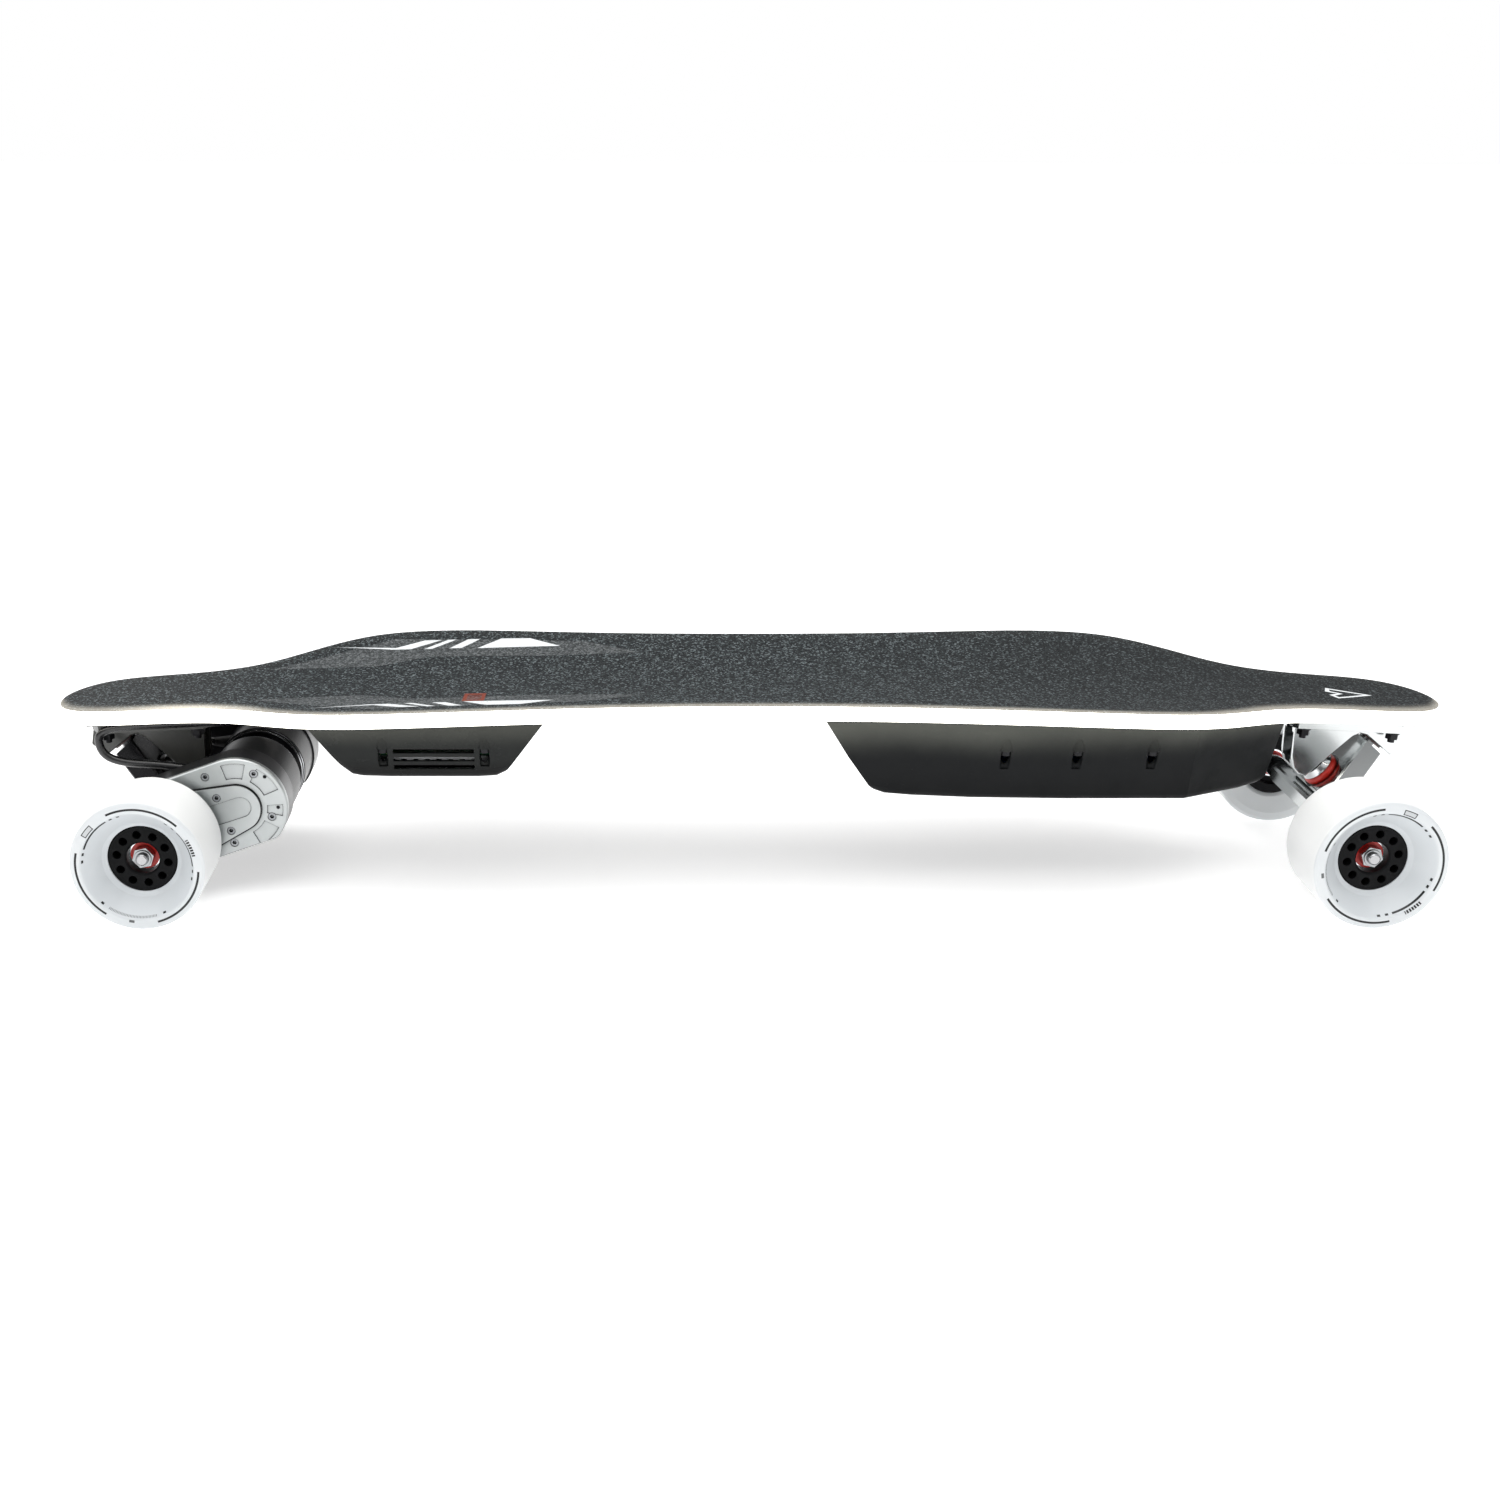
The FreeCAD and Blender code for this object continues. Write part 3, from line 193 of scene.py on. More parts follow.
    def radius_angle(self, x, z):
        """Distance (m) and angle (degrees, 0 to 360) about a line along Y through (x, z)."""
        dx = self.math("SUBTRACT", self.x, x)
        dz = self.math("SUBTRACT", self.z, z)
        squares = self.math("ADD", self.math("MULTIPLY", dx, dx), self.math("MULTIPLY", dz, dz))
        radius = self.math("SQRT", squares)
        angle = self.math("MULTIPLY", self.math("ARCTAN2", dz, dx), 180 / math.pi)
        return radius, self.math("FLOORED_MODULO", angle, 360.0)

    def within(self, value, middle, half, soft):
        """1 where value is within half of middle."""
        away = self.math("ABSOLUTE", self.math("SUBTRACT", value, middle))
        return self.math("SUBTRACT", 1.0, self.clamp(away, half - soft, half + soft))

    def either(self, masks):
        total = masks[0]
        for mask in masks[1:]:
            total = self.math("MAXIMUM", total, mask)
        return total


def solid_finish(name, base, roughness, metallic=0.0, grain=900.0, variation=0.12, bump=0.1, coat=0.0,
                 coat_roughness=0.1, wear=None):
    """A moulded, painted or machined surface: cloudy colour, fine grain in the relief and an uneven gloss."""
    g = Graph(name)
    cloud = g.noise(14.0, 4.0)
    fine = g.noise(grain, 2.0)
    dark = tuple(c * (1 - variation) for c in base)
    light = tuple(min(1.0, c * (1 + variation)) for c in base)
    colour = g.mix(g.clamp(cloud, 0.3, 0.7), dark, light)
    if wear:
        scuffs = g.clamp(g.noise(60.0, 8.0, rough=0.7), 0.62, 0.72)
        colour = g.mix(g.math("MULTIPLY", scuffs, 0.35), colour, wear)
    uneven = g.blend(g.clamp(g.noise(45.0, 5.0), 0.3, 0.7), roughness * 0.85, min(1.0, roughness * 1.15))
    g.set(base=colour, roughness=uneven, metallic=metallic, coat=coat, coat_roughness=coat_roughness,
          normal=g.bump(fine, bump, 0.0002, g.rounded(0.0004)))
    return g.material


def turned_metal(name, base, roughness, x, z, grain=1600.0):
    """Metal turned about a line along Y: fine rings in the relief, and an uneven gloss."""
    g = Graph(name)
    radius, _ = g.radius_angle(x, z)
    rings = g.math("SINE", g.math("MULTIPLY", g.math("ADD", radius, g.y), grain * 6))
    cloud = g.noise(30.0, 4.0)
    colour = g.mix(g.clamp(cloud, 0.3, 0.7), tuple(c * 0.92 for c in base), base)
    # painted shade: the colour darkens deep in corners
    colour = g.mix(g.corner_shade(0.002), colour, tuple(c * 0.15 for c in base))
    gloss = g.blend(g.clamp(cloud, 0.3, 0.7), roughness * 0.8, roughness * 1.3)
    g.set(base=colour, metallic=1.0, roughness=gloss, normal=g.bump(rings, 0.05, 0.0001, g.rounded(0.0004)))
    return g.material


def brushed_metal(name, base, roughness, direction=(1.0, 14.0, 14.0)):
    """Brushed or polished metal: fine streaks, and painted shade in the corners."""
    g = Graph(name)
    streaks = g.noise(180.0, 4.0, place=g.stretched(*direction))
    cloud = g.noise(18.0, 4.0)
    colour = g.mix(g.clamp(cloud, 0.3, 0.7), tuple(c * 0.93 for c in base), base)
    # painted shade: the colour darkens deep in corners
    colour = g.mix(g.corner_shade(0.004), colour, tuple(c * 0.18 for c in base))
    g.set(base=colour, metallic=1.0, roughness=g.blend(streaks, roughness * 0.7, roughness * 1.4),
          normal=g.bump(streaks, 0.06, 0.0002, g.rounded(0.0005)), anisotropic=0.3)
    return g.material


# ---------------------------------------------------------------------- grip tape
GREY_PANELS = (((-350, 43), (-272, 41), (-236, 58), (-263, 93)),
               ((-263, 93), (-236, 58), (-145, 55), (-119, 81)),
               ((-119, 81), (-145, 55), (-76, 58)))
WHITE_PANELS = (((-306, 81.4), (-262, 73.5), (-262, 76.5)),
                ((-266, 73.5), (-250, 73.5), (-228, 88.5), (-241, 88.5), (-262, 76)),
                ((-240, 73), (-234, 73), (-217, 88.5), (-223, 88.5)),
                ((-221, 73), (-212, 73), (-199, 88.5), (-208, 88.5)),
                ((-200, 72), (-138, 73), (-161, 88), (-183, 88.5)))
DECK_HALF = ((0, 92.3), (80, 94), (160, 100), (240, 105), (280, 100), (320, 80.5), (360, 55), (400, 44.5),
             (440, 41.5), (470, 34), (484, 22), (491, 2))


def convex_mask(g, x, y, points, soft=0.0004):
    """1 inside a convex outline given in millimetres, whichever way round it is listed."""
    area = 0.0
    for (ax, ay), (bx, by) in zip(points, points[1:] + points[:1]):
        area += ax * by - bx * ay
    turn = 1.0 if area > 0 else -1.0
    inside = 1.0
    for (ax, ay), (bx, by) in zip(points, points[1:] + points[:1]):
        length = math.hypot(bx - ax, by - ay)
        nx, ny = -turn * (by - ay) / length, turn * (bx - ax) / length
        offset = -(ax * nx + ay * ny) * MM
        depth = g.math("MULTIPLY_ADD", x, nx, g.math("MULTIPLY_ADD", y, ny, offset))
        inside = g.math("MINIMUM", inside, g.clamp(depth, -soft, soft))
    return inside


def grip_material():
    """Sparkling grit with pale panels and strokes, painted light towards the tail end, and a painted glow
    along the edge over the light guide, nearly all on the right side.
    """
    g = Graph("grip_tape_sparkling")
    side = g.math("ABSOLUTE", g.y)
    fine = g.cells(1500.0)
    speck = g.cells(900.0)
    near = g.math("SUBTRACT", 1.0, g.clamp(g.y, -0.002, 0.002))
    art = g.math("MULTIPLY_ADD", near, 0.013, side)
    speck_colour = g.add("ShaderNodeSeparateColor")
    g.link(speck.outputs["Color"], speck_colour.inputs[0])
    coarse = g.noise(700.0, 2.0)
    patches = g.noise(9.0, 3.0)
    base = g.ramp(speck_colour.outputs[0], ((0.0, (0.004, 0.006, 0.007)), (0.50, (0.017, 0.024, 0.027)),
                                            (0.8, (0.074, 0.096, 0.102)), (0.97, (0.42, 0.49, 0.51))))
    base = g.mix(g.math("MULTIPLY", g.clamp(patches, 0.3, 0.7), 0.2), base, (0.030, 0.036, 0.039))
    # painted light: the tape is paler towards the tail end; it is darker towards the nose
    tail = g.math("SUBTRACT", 1.0, g.clamp(g.x, -0.47, -0.30))
    base = g.mix(g.math("MULTIPLY", tail, 0.16), base, (0.26, 0.25, 0.24))
    base = g.mix(g.math("MULTIPLY", g.clamp(g.x, 0.0, 0.42), 0.60), base, (0.008, 0.011, 0.012))
    grey = g.either([convex_mask(g, g.x, art, panel) for panel in GREY_PANELS])
    white = g.either([convex_mask(g, g.x, art, panel) for panel in WHITE_PANELS])
    grit = g.math("GREATER_THAN", speck_colour.outputs[1], 0.8)
    light_grey = g.ramp(speck_colour.outputs[0], ((0.0, (0.060, 0.068, 0.072)), (0.6, (0.15, 0.165, 0.17)),
                                                  (1.0, (0.42, 0.45, 0.46))))
    paint = g.mix(g.math("MULTIPLY", grit, 0.35), (0.84, 0.87, 0.88), (0.50, 0.53, 0.54))
    colour = g.mix(grey, base, light_grey)
    colour = g.mix(white, colour, paint)
    # plain arrow outline near the nose, and a small red-orange tab on the right side
    arrow_outer = convex_mask(g, g.x, side, ((412, 0), (417, 13), (446, 0), (417, -13)))
    arrow_inner = convex_mask(g, g.x, side, ((416, 0), (418.5, 9.6), (440, 0), (418.5, -9.6)))
    notch = convex_mask(g, g.x, side, ((405, -9), (405, 9), (421, 0)))
    notch_line = convex_mask(g, g.x, side, ((405, -14), (405, 14), (425, 0)))
    arrow = g.math("MAXIMUM", g.math("SUBTRACT", arrow_outer, arrow_inner),
                   g.math("MULTIPLY", arrow_outer, notch_line))
    arrow = g.math("MULTIPLY", arrow, g.math("SUBTRACT", 1.0, notch))
    colour = g.mix(arrow, colour, (0.84, 0.87, 0.88))
    tab = convex_mask(g, g.x, g.y, ((-201, -33), (-186, -33), (-186, -58), (-201, -58)))
    tab_hole = convex_mask(g, g.x, g.y, ((-198.5, -36.5), (-188.5, -36.5), (-188.5, -54.5), (-198.5, -54.5)))
    colour = g.mix(g.math("SUBTRACT", tab, g.math("MULTIPLY", tab_hole, 0.55)), colour, (0.52, 0.10, 0.05))
    # painted glow on the tape along the right edge over the light guide, strongest near the tail end
    outline = g.add("ShaderNodeFloatCurve")
    g.link(g.math("DIVIDE", g.math("ABSOLUTE", g.x), 0.5), outline.inputs["Value"])
    curve = outline.mapping.curves[0]
    points = [(x / 500, width / 120) for x, width in DECK_HALF]
    curve.points[0].location = points[0]
    curve.points[1].location = points[-1]
    for point in points[1:-1]:
        curve.points.new(*point)
    outline.mapping.update()
    inset = g.math("SUBTRACT", g.math("MULTIPLY", outline.outputs[0], 0.12), side)
    painted_glow = g.math("POWER", g.math("SUBTRACT", 1.0, g.clamp(inset, 0.0005, 0.022)), 2.2)
    bloom = g.math("ADD", 0.42, g.math("MULTIPLY", g.within(g.x, -0.39, 0.035, 0.035), 0.6))
    painted_glow = g.math("MULTIPLY", painted_glow, g.math("MULTIPLY_ADD", g.math("MULTIPLY", near, bloom), 0.95, 0.01))
    glint = g.clamp(speck_colour.outputs[2], 0.90, 0.99)
    painted = g.either([white, arrow])
    g.set(base=colour, roughness=g.blend(glint, 0.72, 0.25), specular=0.5,
          glow=(1.0, 0.93, 0.80), glow_strength=painted_glow,
          normal=g.bump(g.math("ADD", fine.outputs["Distance"], g.math("MULTIPLY", coarse, 0.002)),
                        g.math("SUBTRACT", 0.7, g.math("MULTIPLY", painted, 0.55)), 0.5))
    return g.material


# --------------------------------------------------------------------- wheels
def tyre_material(name, x, sign, first_arc):
    """Cast white urethane with three printed arcs on its outer face; one is centred on first_arc degrees."""
    g = Graph(name)
    radius, angle = g.radius_angle(x, AXLE_Z)
    third = g.math("FLOORED_MODULO", g.math("SUBTRACT", angle, first_arc - 60.0), 120.0)
    turn = g.math("FLOORED_MODULO", g.math("SUBTRACT", angle, first_arc - 60.0), 360.0)
    face = g.clamp(g.math("MULTIPLY", g.y, sign), 0.1190, 0.1200)
    thick = g.math("MULTIPLY", g.within(radius, THICK_ARC_R, 0.00075, 0.00008),
                   g.within(third, 60.0, 35.0, 0.25))
    beside = g.math("FLOORED_MODULO", g.math("ADD", third, 60.0), 120.0)
    thin = g.math("MULTIPLY", g.within(radius, THIN_ARC_R, 0.00050, 0.00006),
                  g.within(beside, 60.0, 20.3, 0.25))
    dashes = [thin]
    for middle in (33.9, 25.5, 86.1, 94.5):
        dashes.append(g.math("MULTIPLY", g.within(radius, THIN_ARC_R, 0.00054, 0.00006),
                             g.within(beside, middle, 1.7, 0.2)))
    lines = g.either(dashes)
    # plain pill outline in one gap, a plain row of bars in the next, fine ticks and a block in the last
    gap = g.math("SUBTRACT", turn, 120.0)
    pill = g.math("MULTIPLY", g.within(radius, PILL_R, 0.00190, PRINT_SOFT), g.within(gap, 0.0, 6.6, 0.3))
    pill_inside = g.math("MULTIPLY", g.within(radius, PILL_R, 0.00130, PRINT_SOFT),
                         g.within(gap, 0.0, 5.7, 0.3))
    bars = g.math("GREATER_THAN", g.math("SINE", g.math("MULTIPLY", angle, 2.2)), -0.55)
    bars = g.math("MULTIPLY", bars, g.within(radius, BARS_R, 0.00120, PRINT_SOFT))
    opposite = g.math("FLOORED_MODULO", g.math("ADD", turn, 180.0), 360.0)
    bars = g.math("MULTIPLY", bars, g.within(opposite, 180.0, 9.0, 0.3))
    lines = g.either([lines, g.math("SUBTRACT", pill, g.math("MULTIPLY", pill_inside, 0.80)), bars])
    last_gap = g.within(turn, 240.0, 29.0, 0.3)
    ticks = g.math("GREATER_THAN", g.math("SINE", g.math("MULTIPLY", angle, 4.1)), 0.1)
    ticks = g.math("MULTIPLY", ticks, g.within(radius, TICKS_R, 0.00060, PRINT_SOFT))
    ticks = g.math("MULTIPLY", g.math("MULTIPLY", ticks, g.within(beside, 60.0, 26.0, 0.25)), 0.75)
    block = g.math("MULTIPLY", g.within(radius, BLOCK_R, 0.00090, PRINT_SOFT),
                   g.within(beside, 60.0, 2.6, 0.25))
    lines = g.blend(last_gap, lines, g.either([ticks, g.math("MULTIPLY", block, 0.85)]))
    ink = g.math("MULTIPLY", g.math("MAXIMUM", thick, lines), face)
    cloud = g.noise(26.0, 4.0)
    tread = g.clamp(radius, 0.0446, 0.0449)
    white = g.mix(g.clamp(cloud, 0.3, 0.7), (0.63, 0.655, 0.67), (0.67, 0.69, 0.70))
    # painted shade: the face gets a darker colour than the tread of the same urethane
    white = g.mix(tread, white, (0.76, 0.77, 0.77))
    # painted shade in the recess round the core
    recess_shade = g.math("MULTIPLY", g.math("SUBTRACT", 1.0, g.clamp(radius, 0.036, 0.0385)),
                    g.clamp(g.math("MULTIPLY", g.y, sign), 0.105, 0.11))
    white = g.mix(g.math("MULTIPLY", recess_shade, 0.75), white, (0.60, 0.63, 0.65))
    scuffs = g.math("MULTIPLY", g.clamp(g.noise(90.0, 8.0, rough=0.7), 0.58, 0.75), tread)
    white = g.mix(g.math("MULTIPLY", scuffs, 0.10), white, (0.62, 0.63, 0.62))
    seam = g.math("MULTIPLY", g.within(g.math("ABSOLUTE", g.y), 0.1016, 0.00012, 0.00005), tread)
    relief = g.math("SUBTRACT", g.noise(700.0, 2.0), g.math("MULTIPLY", seam, 2.0))
    g.set(base=g.mix(ink, white, (0.004, 0.004, 0.005)), roughness=g.blend(tread, 0.30, 0.42),
          subsurface=0.12, normal=g.bump(relief, 0.05, 0.0003), specular=0.45)
    g.bsdf.inputs["Subsurface Radius"].default_value = (0.004, 0.004, 0.004)
    g.bsdf.inputs["Subsurface Scale"].default_value = 1.0
    return g.material


def core_material(name, x):
    """Black moulded core with a groove round its hub."""
    g = Graph(name)
    radius, angle = g.radius_angle(x, AXLE_Z)
    ribs = g.within(g.math("FLOORED_MODULO", angle, 36.0), 18.0, 1.2, 0.5)
    ring = g.within(radius, 0.0211, 0.0003, 0.00012)
    relief = g.math("ADD", g.math("MULTIPLY", ring, -1.0), g.math("MULTIPLY", g.noise(1200.0, 2.0), 0.25))
    colour = g.mix(g.clamp(g.noise(40.0, 4.0), 0.3, 0.7), (0.0025, 0.003, 0.003), (0.005, 0.005, 0.006))
    colour = g.mix(g.math("MULTIPLY", ribs, 0.2), colour, (0.012, 0.012, 0.013))
    g.set(base=colour, roughness=0.45, specular=0.10, normal=g.bump(relief, 0.35, 0.0004, g.rounded(0.0005)))
    return g.material


def bearing_material(name, x):
    """Red shields in polished steel rings."""
    g = Graph(name)
    radius, _ = g.radius_angle(x, AXLE_Z)
    steel = g.clamp(radius, 0.00960, 0.00972)
    cloud = g.clamp(g.noise(120.0, 4.0), 0.3, 0.7)
    red = g.mix(cloud, (0.58, 0.010, 0.006), (0.72, 0.020, 0.011))
    lip = g.within(radius, 0.0066, 0.0003, 0.0001)
    shield = g.mix(g.math("MULTIPLY", lip, 0.6), red, (0.25, 0.01, 0.01))
    g.set(base=g.mix(steel, shield, (0.85, 0.86, 0.88)), metallic=steel, roughness=g.blend(steel, 0.34, 0.14),
          normal=g.bump(g.noise(1500.0, 2.0), 0.05, 0.0002))
    return g.material


# ------------------------------------------------------------------ other parts
def light_guide_material():
    """Lit diffuser, a little brighter over each diode."""
    g = Graph("light_guide_lit")
    diodes = g.math("SINE", g.math("MULTIPLY", g.math("ADD", g.x, g.y), 2 * math.pi / 0.0085))
    cloud = g.noise(25.0, 3.0)
    uneven = g.math("ADD", g.math("MULTIPLY", diodes, 0.25), g.math("MULTIPLY", cloud, 0.5))
    strength = g.math("ADD", 3.6, uneven)
    g.set(base=(0.9, 0.9, 0.86), roughness=0.4, glow=(1.0, 0.965, 0.88), glow_strength=strength,
          normal=g.bump(g.noise(900.0, 2.0), 0.05, 0.0002))
    return g.material


def motor_material():
    """Satin black can with bright turned lines near its inner end and behind its flange."""
    g = Graph("motor_can_black")
    side = g.math("ABSOLUTE", g.y)
    lines = g.either([g.within(side, 0.0061, 0.00035, 0.0001), g.within(side, 0.0094, 0.00022, 0.0001)])
    cloud = g.noise(20.0, 4.0)
    rings = g.math("SINE", g.math("MULTIPLY", side, 9000.0))
    black = g.mix(g.clamp(cloud, 0.3, 0.7), (0.005, 0.005, 0.006), (0.010, 0.010, 0.011))
    g.set(base=g.mix(lines, black, (0.55, 0.56, 0.58)), metallic=g.blend(lines, 0.0, 1.0), specular=0.12,
          roughness=g.blend(lines, 0.28, 0.18), coat=0.05, coat_roughness=0.12,
          normal=g.bump(rings, 0.04, 0.0001, g.rounded(0.0005)))
    return g.material


def cover_material():
    """Bead-blasted, clear-anodised gearbox cover."""
    g = Graph("gearbox_cover_satin")
    blast = g.noise(2200.0, 3.0)
    cloud = g.noise(22.0, 5.0)
    colour = g.mix(g.clamp(cloud, 0.3, 0.7), (0.38, 0.40, 0.40), (0.47, 0.49, 0.49))
    # painted shade: dark lines in the corners round the pockets and screws
    colour = g.mix(g.corner_shade(0.004, 0.5, 0.99), colour, (0.03, 0.03, 0.03))
    g.set(base=colour, metallic=0.85, roughness=g.blend(cloud, 0.28, 0.42),
          normal=g.bump(blast, 0.12, 0.0002, g.rounded(0.0006)))
    return g.material


def boxes_material(name, low, middle, lit_top, heights, roughness, coat):
    """Moulded enclosure: fine grain, cloudy colour, painted shade low down, and a paler painted glow from the
    light guide up towards the deck.
    """
    g = Graph(name)
    grain = g.noise(1400.0, 3.0)
    cloud = g.noise(11.0, 5.0)
    smear = g.noise(38.0, 6.0, rough=0.65)
    # painted light and shade by height: darker low down, a paler painted glow up by the deck
    height = g.math("ADD", g.z, g.math("MULTIPLY", g.math("SUBTRACT", cloud, 0.5), 0.02))
    colour = g.mix(g.clamp(height, heights[0], heights[1]), low, middle)
    colour = g.mix(g.math("POWER", g.clamp(height, heights[1], heights[2]), 1.5), colour, lit_top)
    specks = g.clamp(g.noise(420.0, 3.0, rough=0.8), 0.66, 0.74)
    colour = g.mix(g.math("MULTIPLY", specks, 0.10), colour, (0.10, 0.10, 0.10))
    g.set(base=colour, roughness=g.blend(g.clamp(smear, 0.35, 0.7), roughness * 0.8, roughness * 1.35),
          coat=coat, coat_roughness=0.06, specular=0.09,
          normal=g.bump(grain, 0.06, 0.0002, g.rounded(0.0012)))
    return g.material


def cell_material():
    """Blue cell wrap with pale bands at the cells' ends."""
    g = Graph("cell_wrap")
    band = g.clamp(g.math("SINE", g.math("MULTIPLY", g.x, 2 * math.pi / 0.071)), 0.9, 0.95)
    wrinkle = g.noise(220.0, 4.0, place=g.stretched(0.3, 1.0, 1.0))
    g.set(base=g.mix(band, (0.05, 0.16, 0.38), (0.6, 0.6, 0.62)), roughness=0.35,
          normal=g.bump(wrinkle, 0.1, 0.0004))
    return g.material


def circuit_material():
    """Green board with a plain grid of tracks."""
    g = Graph("circuit_board")
    tracks = g.add("ShaderNodeTexBrick")
    g.link(g.stretched(1.0, 1.0, 0.0), tracks.inputs["Vector"])
    tracks.inputs["Scale"].default_value = 120.0
    tracks.inputs["Color1"].default_value = (0.01, 0.13, 0.05, 1.0)
    tracks.inputs["Color2"].default_value = (0.015, 0.17, 0.07, 1.0)
    tracks.inputs["Mortar"].default_value = (0.25, 0.3, 0.1, 1.0)
    g.set(base=tracks.outputs[0], roughness=0.35, normal=g.bump(tracks.outputs[1], 0.2, 0.0002))
    return g.material


def assign(material, *names):
    """Gives CAD nodes a material."""
    for name in names:
        mesh = nodes[name].data
        mesh.materials.clear()
        mesh.materials.append(material)


assign(grip_material(), "grip_tape")
assign(light_guide_material(), "led_light_guide")
assign(solid_finish("deck_lacquer", (0.020, 0.021, 0.023), 0.38, coat=0.25, bump=0.15, grain=500.0),
       "deck_core")
# each box's colours by height: painted shade low down, painted glow from the light guide at the top
assign(boxes_material("battery_box_satin",
                      (0.0035, 0.0041, 0.0046), (0.0058, 0.0066, 0.0074), (0.080, 0.083, 0.073),
                      (0.072, 0.098, 0.128), 0.42, 0.03), "battery_enclosure")
assign(boxes_material("controller_box_gloss", (0.0018, 0.0020, 0.0020), (0.011, 0.0125, 0.012),
                      (0.052, 0.054, 0.047), (0.088, 0.108, 0.127), 0.24, 0.12), "esc_enclosure")
assign(solid_finish("gasket_foam", (0.012, 0.012, 0.012), 0.9, bump=0.5, grain=1500.0), "enclosure_gaskets")
assign(solid_finish("black_oxide", (0.020, 0.020, 0.022), 0.36, metallic=0.8, bump=0.1, wear=(0.3, 0.3, 0.3)),
       "enclosure_screws", "deck_bolts", "deck_nuts")
assign(cell_material(), "battery_cells")
assign(circuit_material(), "circuit_boards")
assign(brushed_metal("heat_sink_alloy", (0.62, 0.63, 0.64), 0.35), "controller_heat_sink")
assign(brushed_metal("polished_alloy", (0.55, 0.57, 0.57), 0.14, (14.0, 1.0, 14.0)), "front_hanger")
assign(brushed_metal("polished_cast_alloy", (0.62, 0.64, 0.64), 0.18), "front_baseplate")
assign(solid_finish("black_anodised", (0.016, 0.016, 0.018), 0.28, metallic=0.75, bump=0.08, coat=0.35,
                    wear=(0.12, 0.12, 0.12)), "rear_hanger")
assign(solid_finish("black_cast", (0.055, 0.056, 0.052), 0.36, metallic=0.2, bump=0.15, coat=0.25),
       "rear_baseplate")
assign(solid_finish("gearbox_black", (0.014, 0.014, 0.016), 0.34, metallic=0.5, bump=0.15, coat=0.2),
       "gearbox_housings")
assign(motor_material(), "motor_cans")
assign(solid_finish("copper_windings", (0.62, 0.24, 0.10), 0.3, metallic=0.9, grain=300.0, bump=0.4),
       "motor_stators")
assign(cover_material(), "gearbox_covers")
assign(solid_finish("black_rubber", (0.016, 0.016, 0.017), 0.6, bump=0.3, grain=900.0), "riser_pads",
       "lead_glands", "lead_grommets", "power_cable")
assign(solid_finish("red_urethane", (0.035, 0.006, 0.005), 0.4, bump=0.08, variation=0.18), "pivot_bushings")
assign(solid_finish("chrome_washers", (0.62, 0.63, 0.64), 0.12, metallic=1.0, variation=0.04, bump=0.04),
       "cup_washers", "kingpins", "kingpin_nuts")
assign(brushed_metal("screw_steel", (0.27, 0.28, 0.29), 0.16), "gearbox_screws", "power_button_bezel",
       "charge_socket")
assign(solid_finish("button_black", (0.03, 0.03, 0.033), 0.3, bump=0.1), "power_button")
for end, x in (("front", AXLE_X), ("rear", -AXLE_X)):
    assign(turned_metal("axle_steel_" + end, (0.42, 0.42, 0.43), 0.25, x, AXLE_Z),
           end + "_axle", end + "_axle_rings")
    assign(turned_metal("nut_chrome_" + end, (0.36, 0.37, 0.38), 0.12, x, AXLE_Z), end + "_axle_nuts")
gear_steel = brushed_metal("gear_steel", (0.46, 0.46, 0.47), 0.3)
for side, sign in (("left", 1), ("right", -1)):
    assign(gear_steel, side + "_driven_gear", side + "_idler_gear", side + "_pinion", side + "_motor_rotor")
    for end, x, first_arc in (("front", AXLE_X, 9.5), ("rear", -AXLE_X, 80.5)):
        wheel = end + "_" + side
        assign(tyre_material(wheel + "_urethane", x, sign, first_arc), wheel + "_tyre")
        assign(core_material(wheel + "_core_plastic", x), wheel + "_core")
        assign(bearing_material(wheel + "_bearing", x), wheel + "_bearings")


# ------------------------------------------------------------ leads and bushings
# x and z in mm, from the gland round the tail end of the truck to the controller box
LEAD_ROUTE = ((-391.5, 79.6), (-412.0, 83.2), (-445.5, 84.8), (-458.6, 92.6), (-458.6, 110.0),
              (-421.0, 112.9), (-362.0, 115.3), (-326.0, 116.2), (-285.0, 116.6))
# radius in mm, and how far from the hanger's end to the washer's
BUSHING_PROFILE = ((5.45, 0.0), (9.0, 0.0), (11.2, 0.0), (11.75, 0.02), (12.2, 0.06), (12.55, 0.12),
                   (12.8, 0.22), (12.95, 0.34), (13.0, 0.46), (12.85, 0.52), (12.5, 0.57), (11.9, 0.63),
                   (11.1, 0.70), (10.3, 0.77), (9.6, 0.84), (9.1, 0.90), (8.7, 0.95), (8.3, 0.985),
                   (7.9, 1.0), (6.6, 1.0), (5.45, 1.0))


def truck_point(s, n, sign):
    """A point of a truck's own frame, along (s) and across (n) the line from its axle to its pivot."""
    x = AXLE_X * 1000 + s * math.cos(TRUCK_LEAN) - n * math.sin(TRUCK_LEAN)
    z = AXLE_Z * 1000 + s * math.sin(TRUCK_LEAN) + n * math.cos(TRUCK_LEAN)
    return Vector((sign * x * MM, 0.0, z * MM))


def mesh_object(name, points, faces, material):
    """A smooth-shaded mesh of the object's own."""
    mesh = bpy.data.meshes.new(name)
    mesh.from_pydata(points, [], faces)
    mesh.polygons.foreach_set("use_smooth", [True] * len(faces))
    mesh.materials.append(material)
    made = bpy.data.objects.new(name, mesh)
    bpy.context.scene.collection.objects.link(made)
    return made


def ring_faces(rings, count):
    """Quads joining rings of count points, and a face over each end."""
    faces = [tuple(range(count))[::-1]]
    for ring in range(rings - 1):
        for k in range(count):
            low, high = ring * count + k, ring * count + (k + 1) % count
            faces.append((low, high, high + count, low + count))
    faces.append(tuple(range((rings - 1) * count, rings * count)))
    return faces


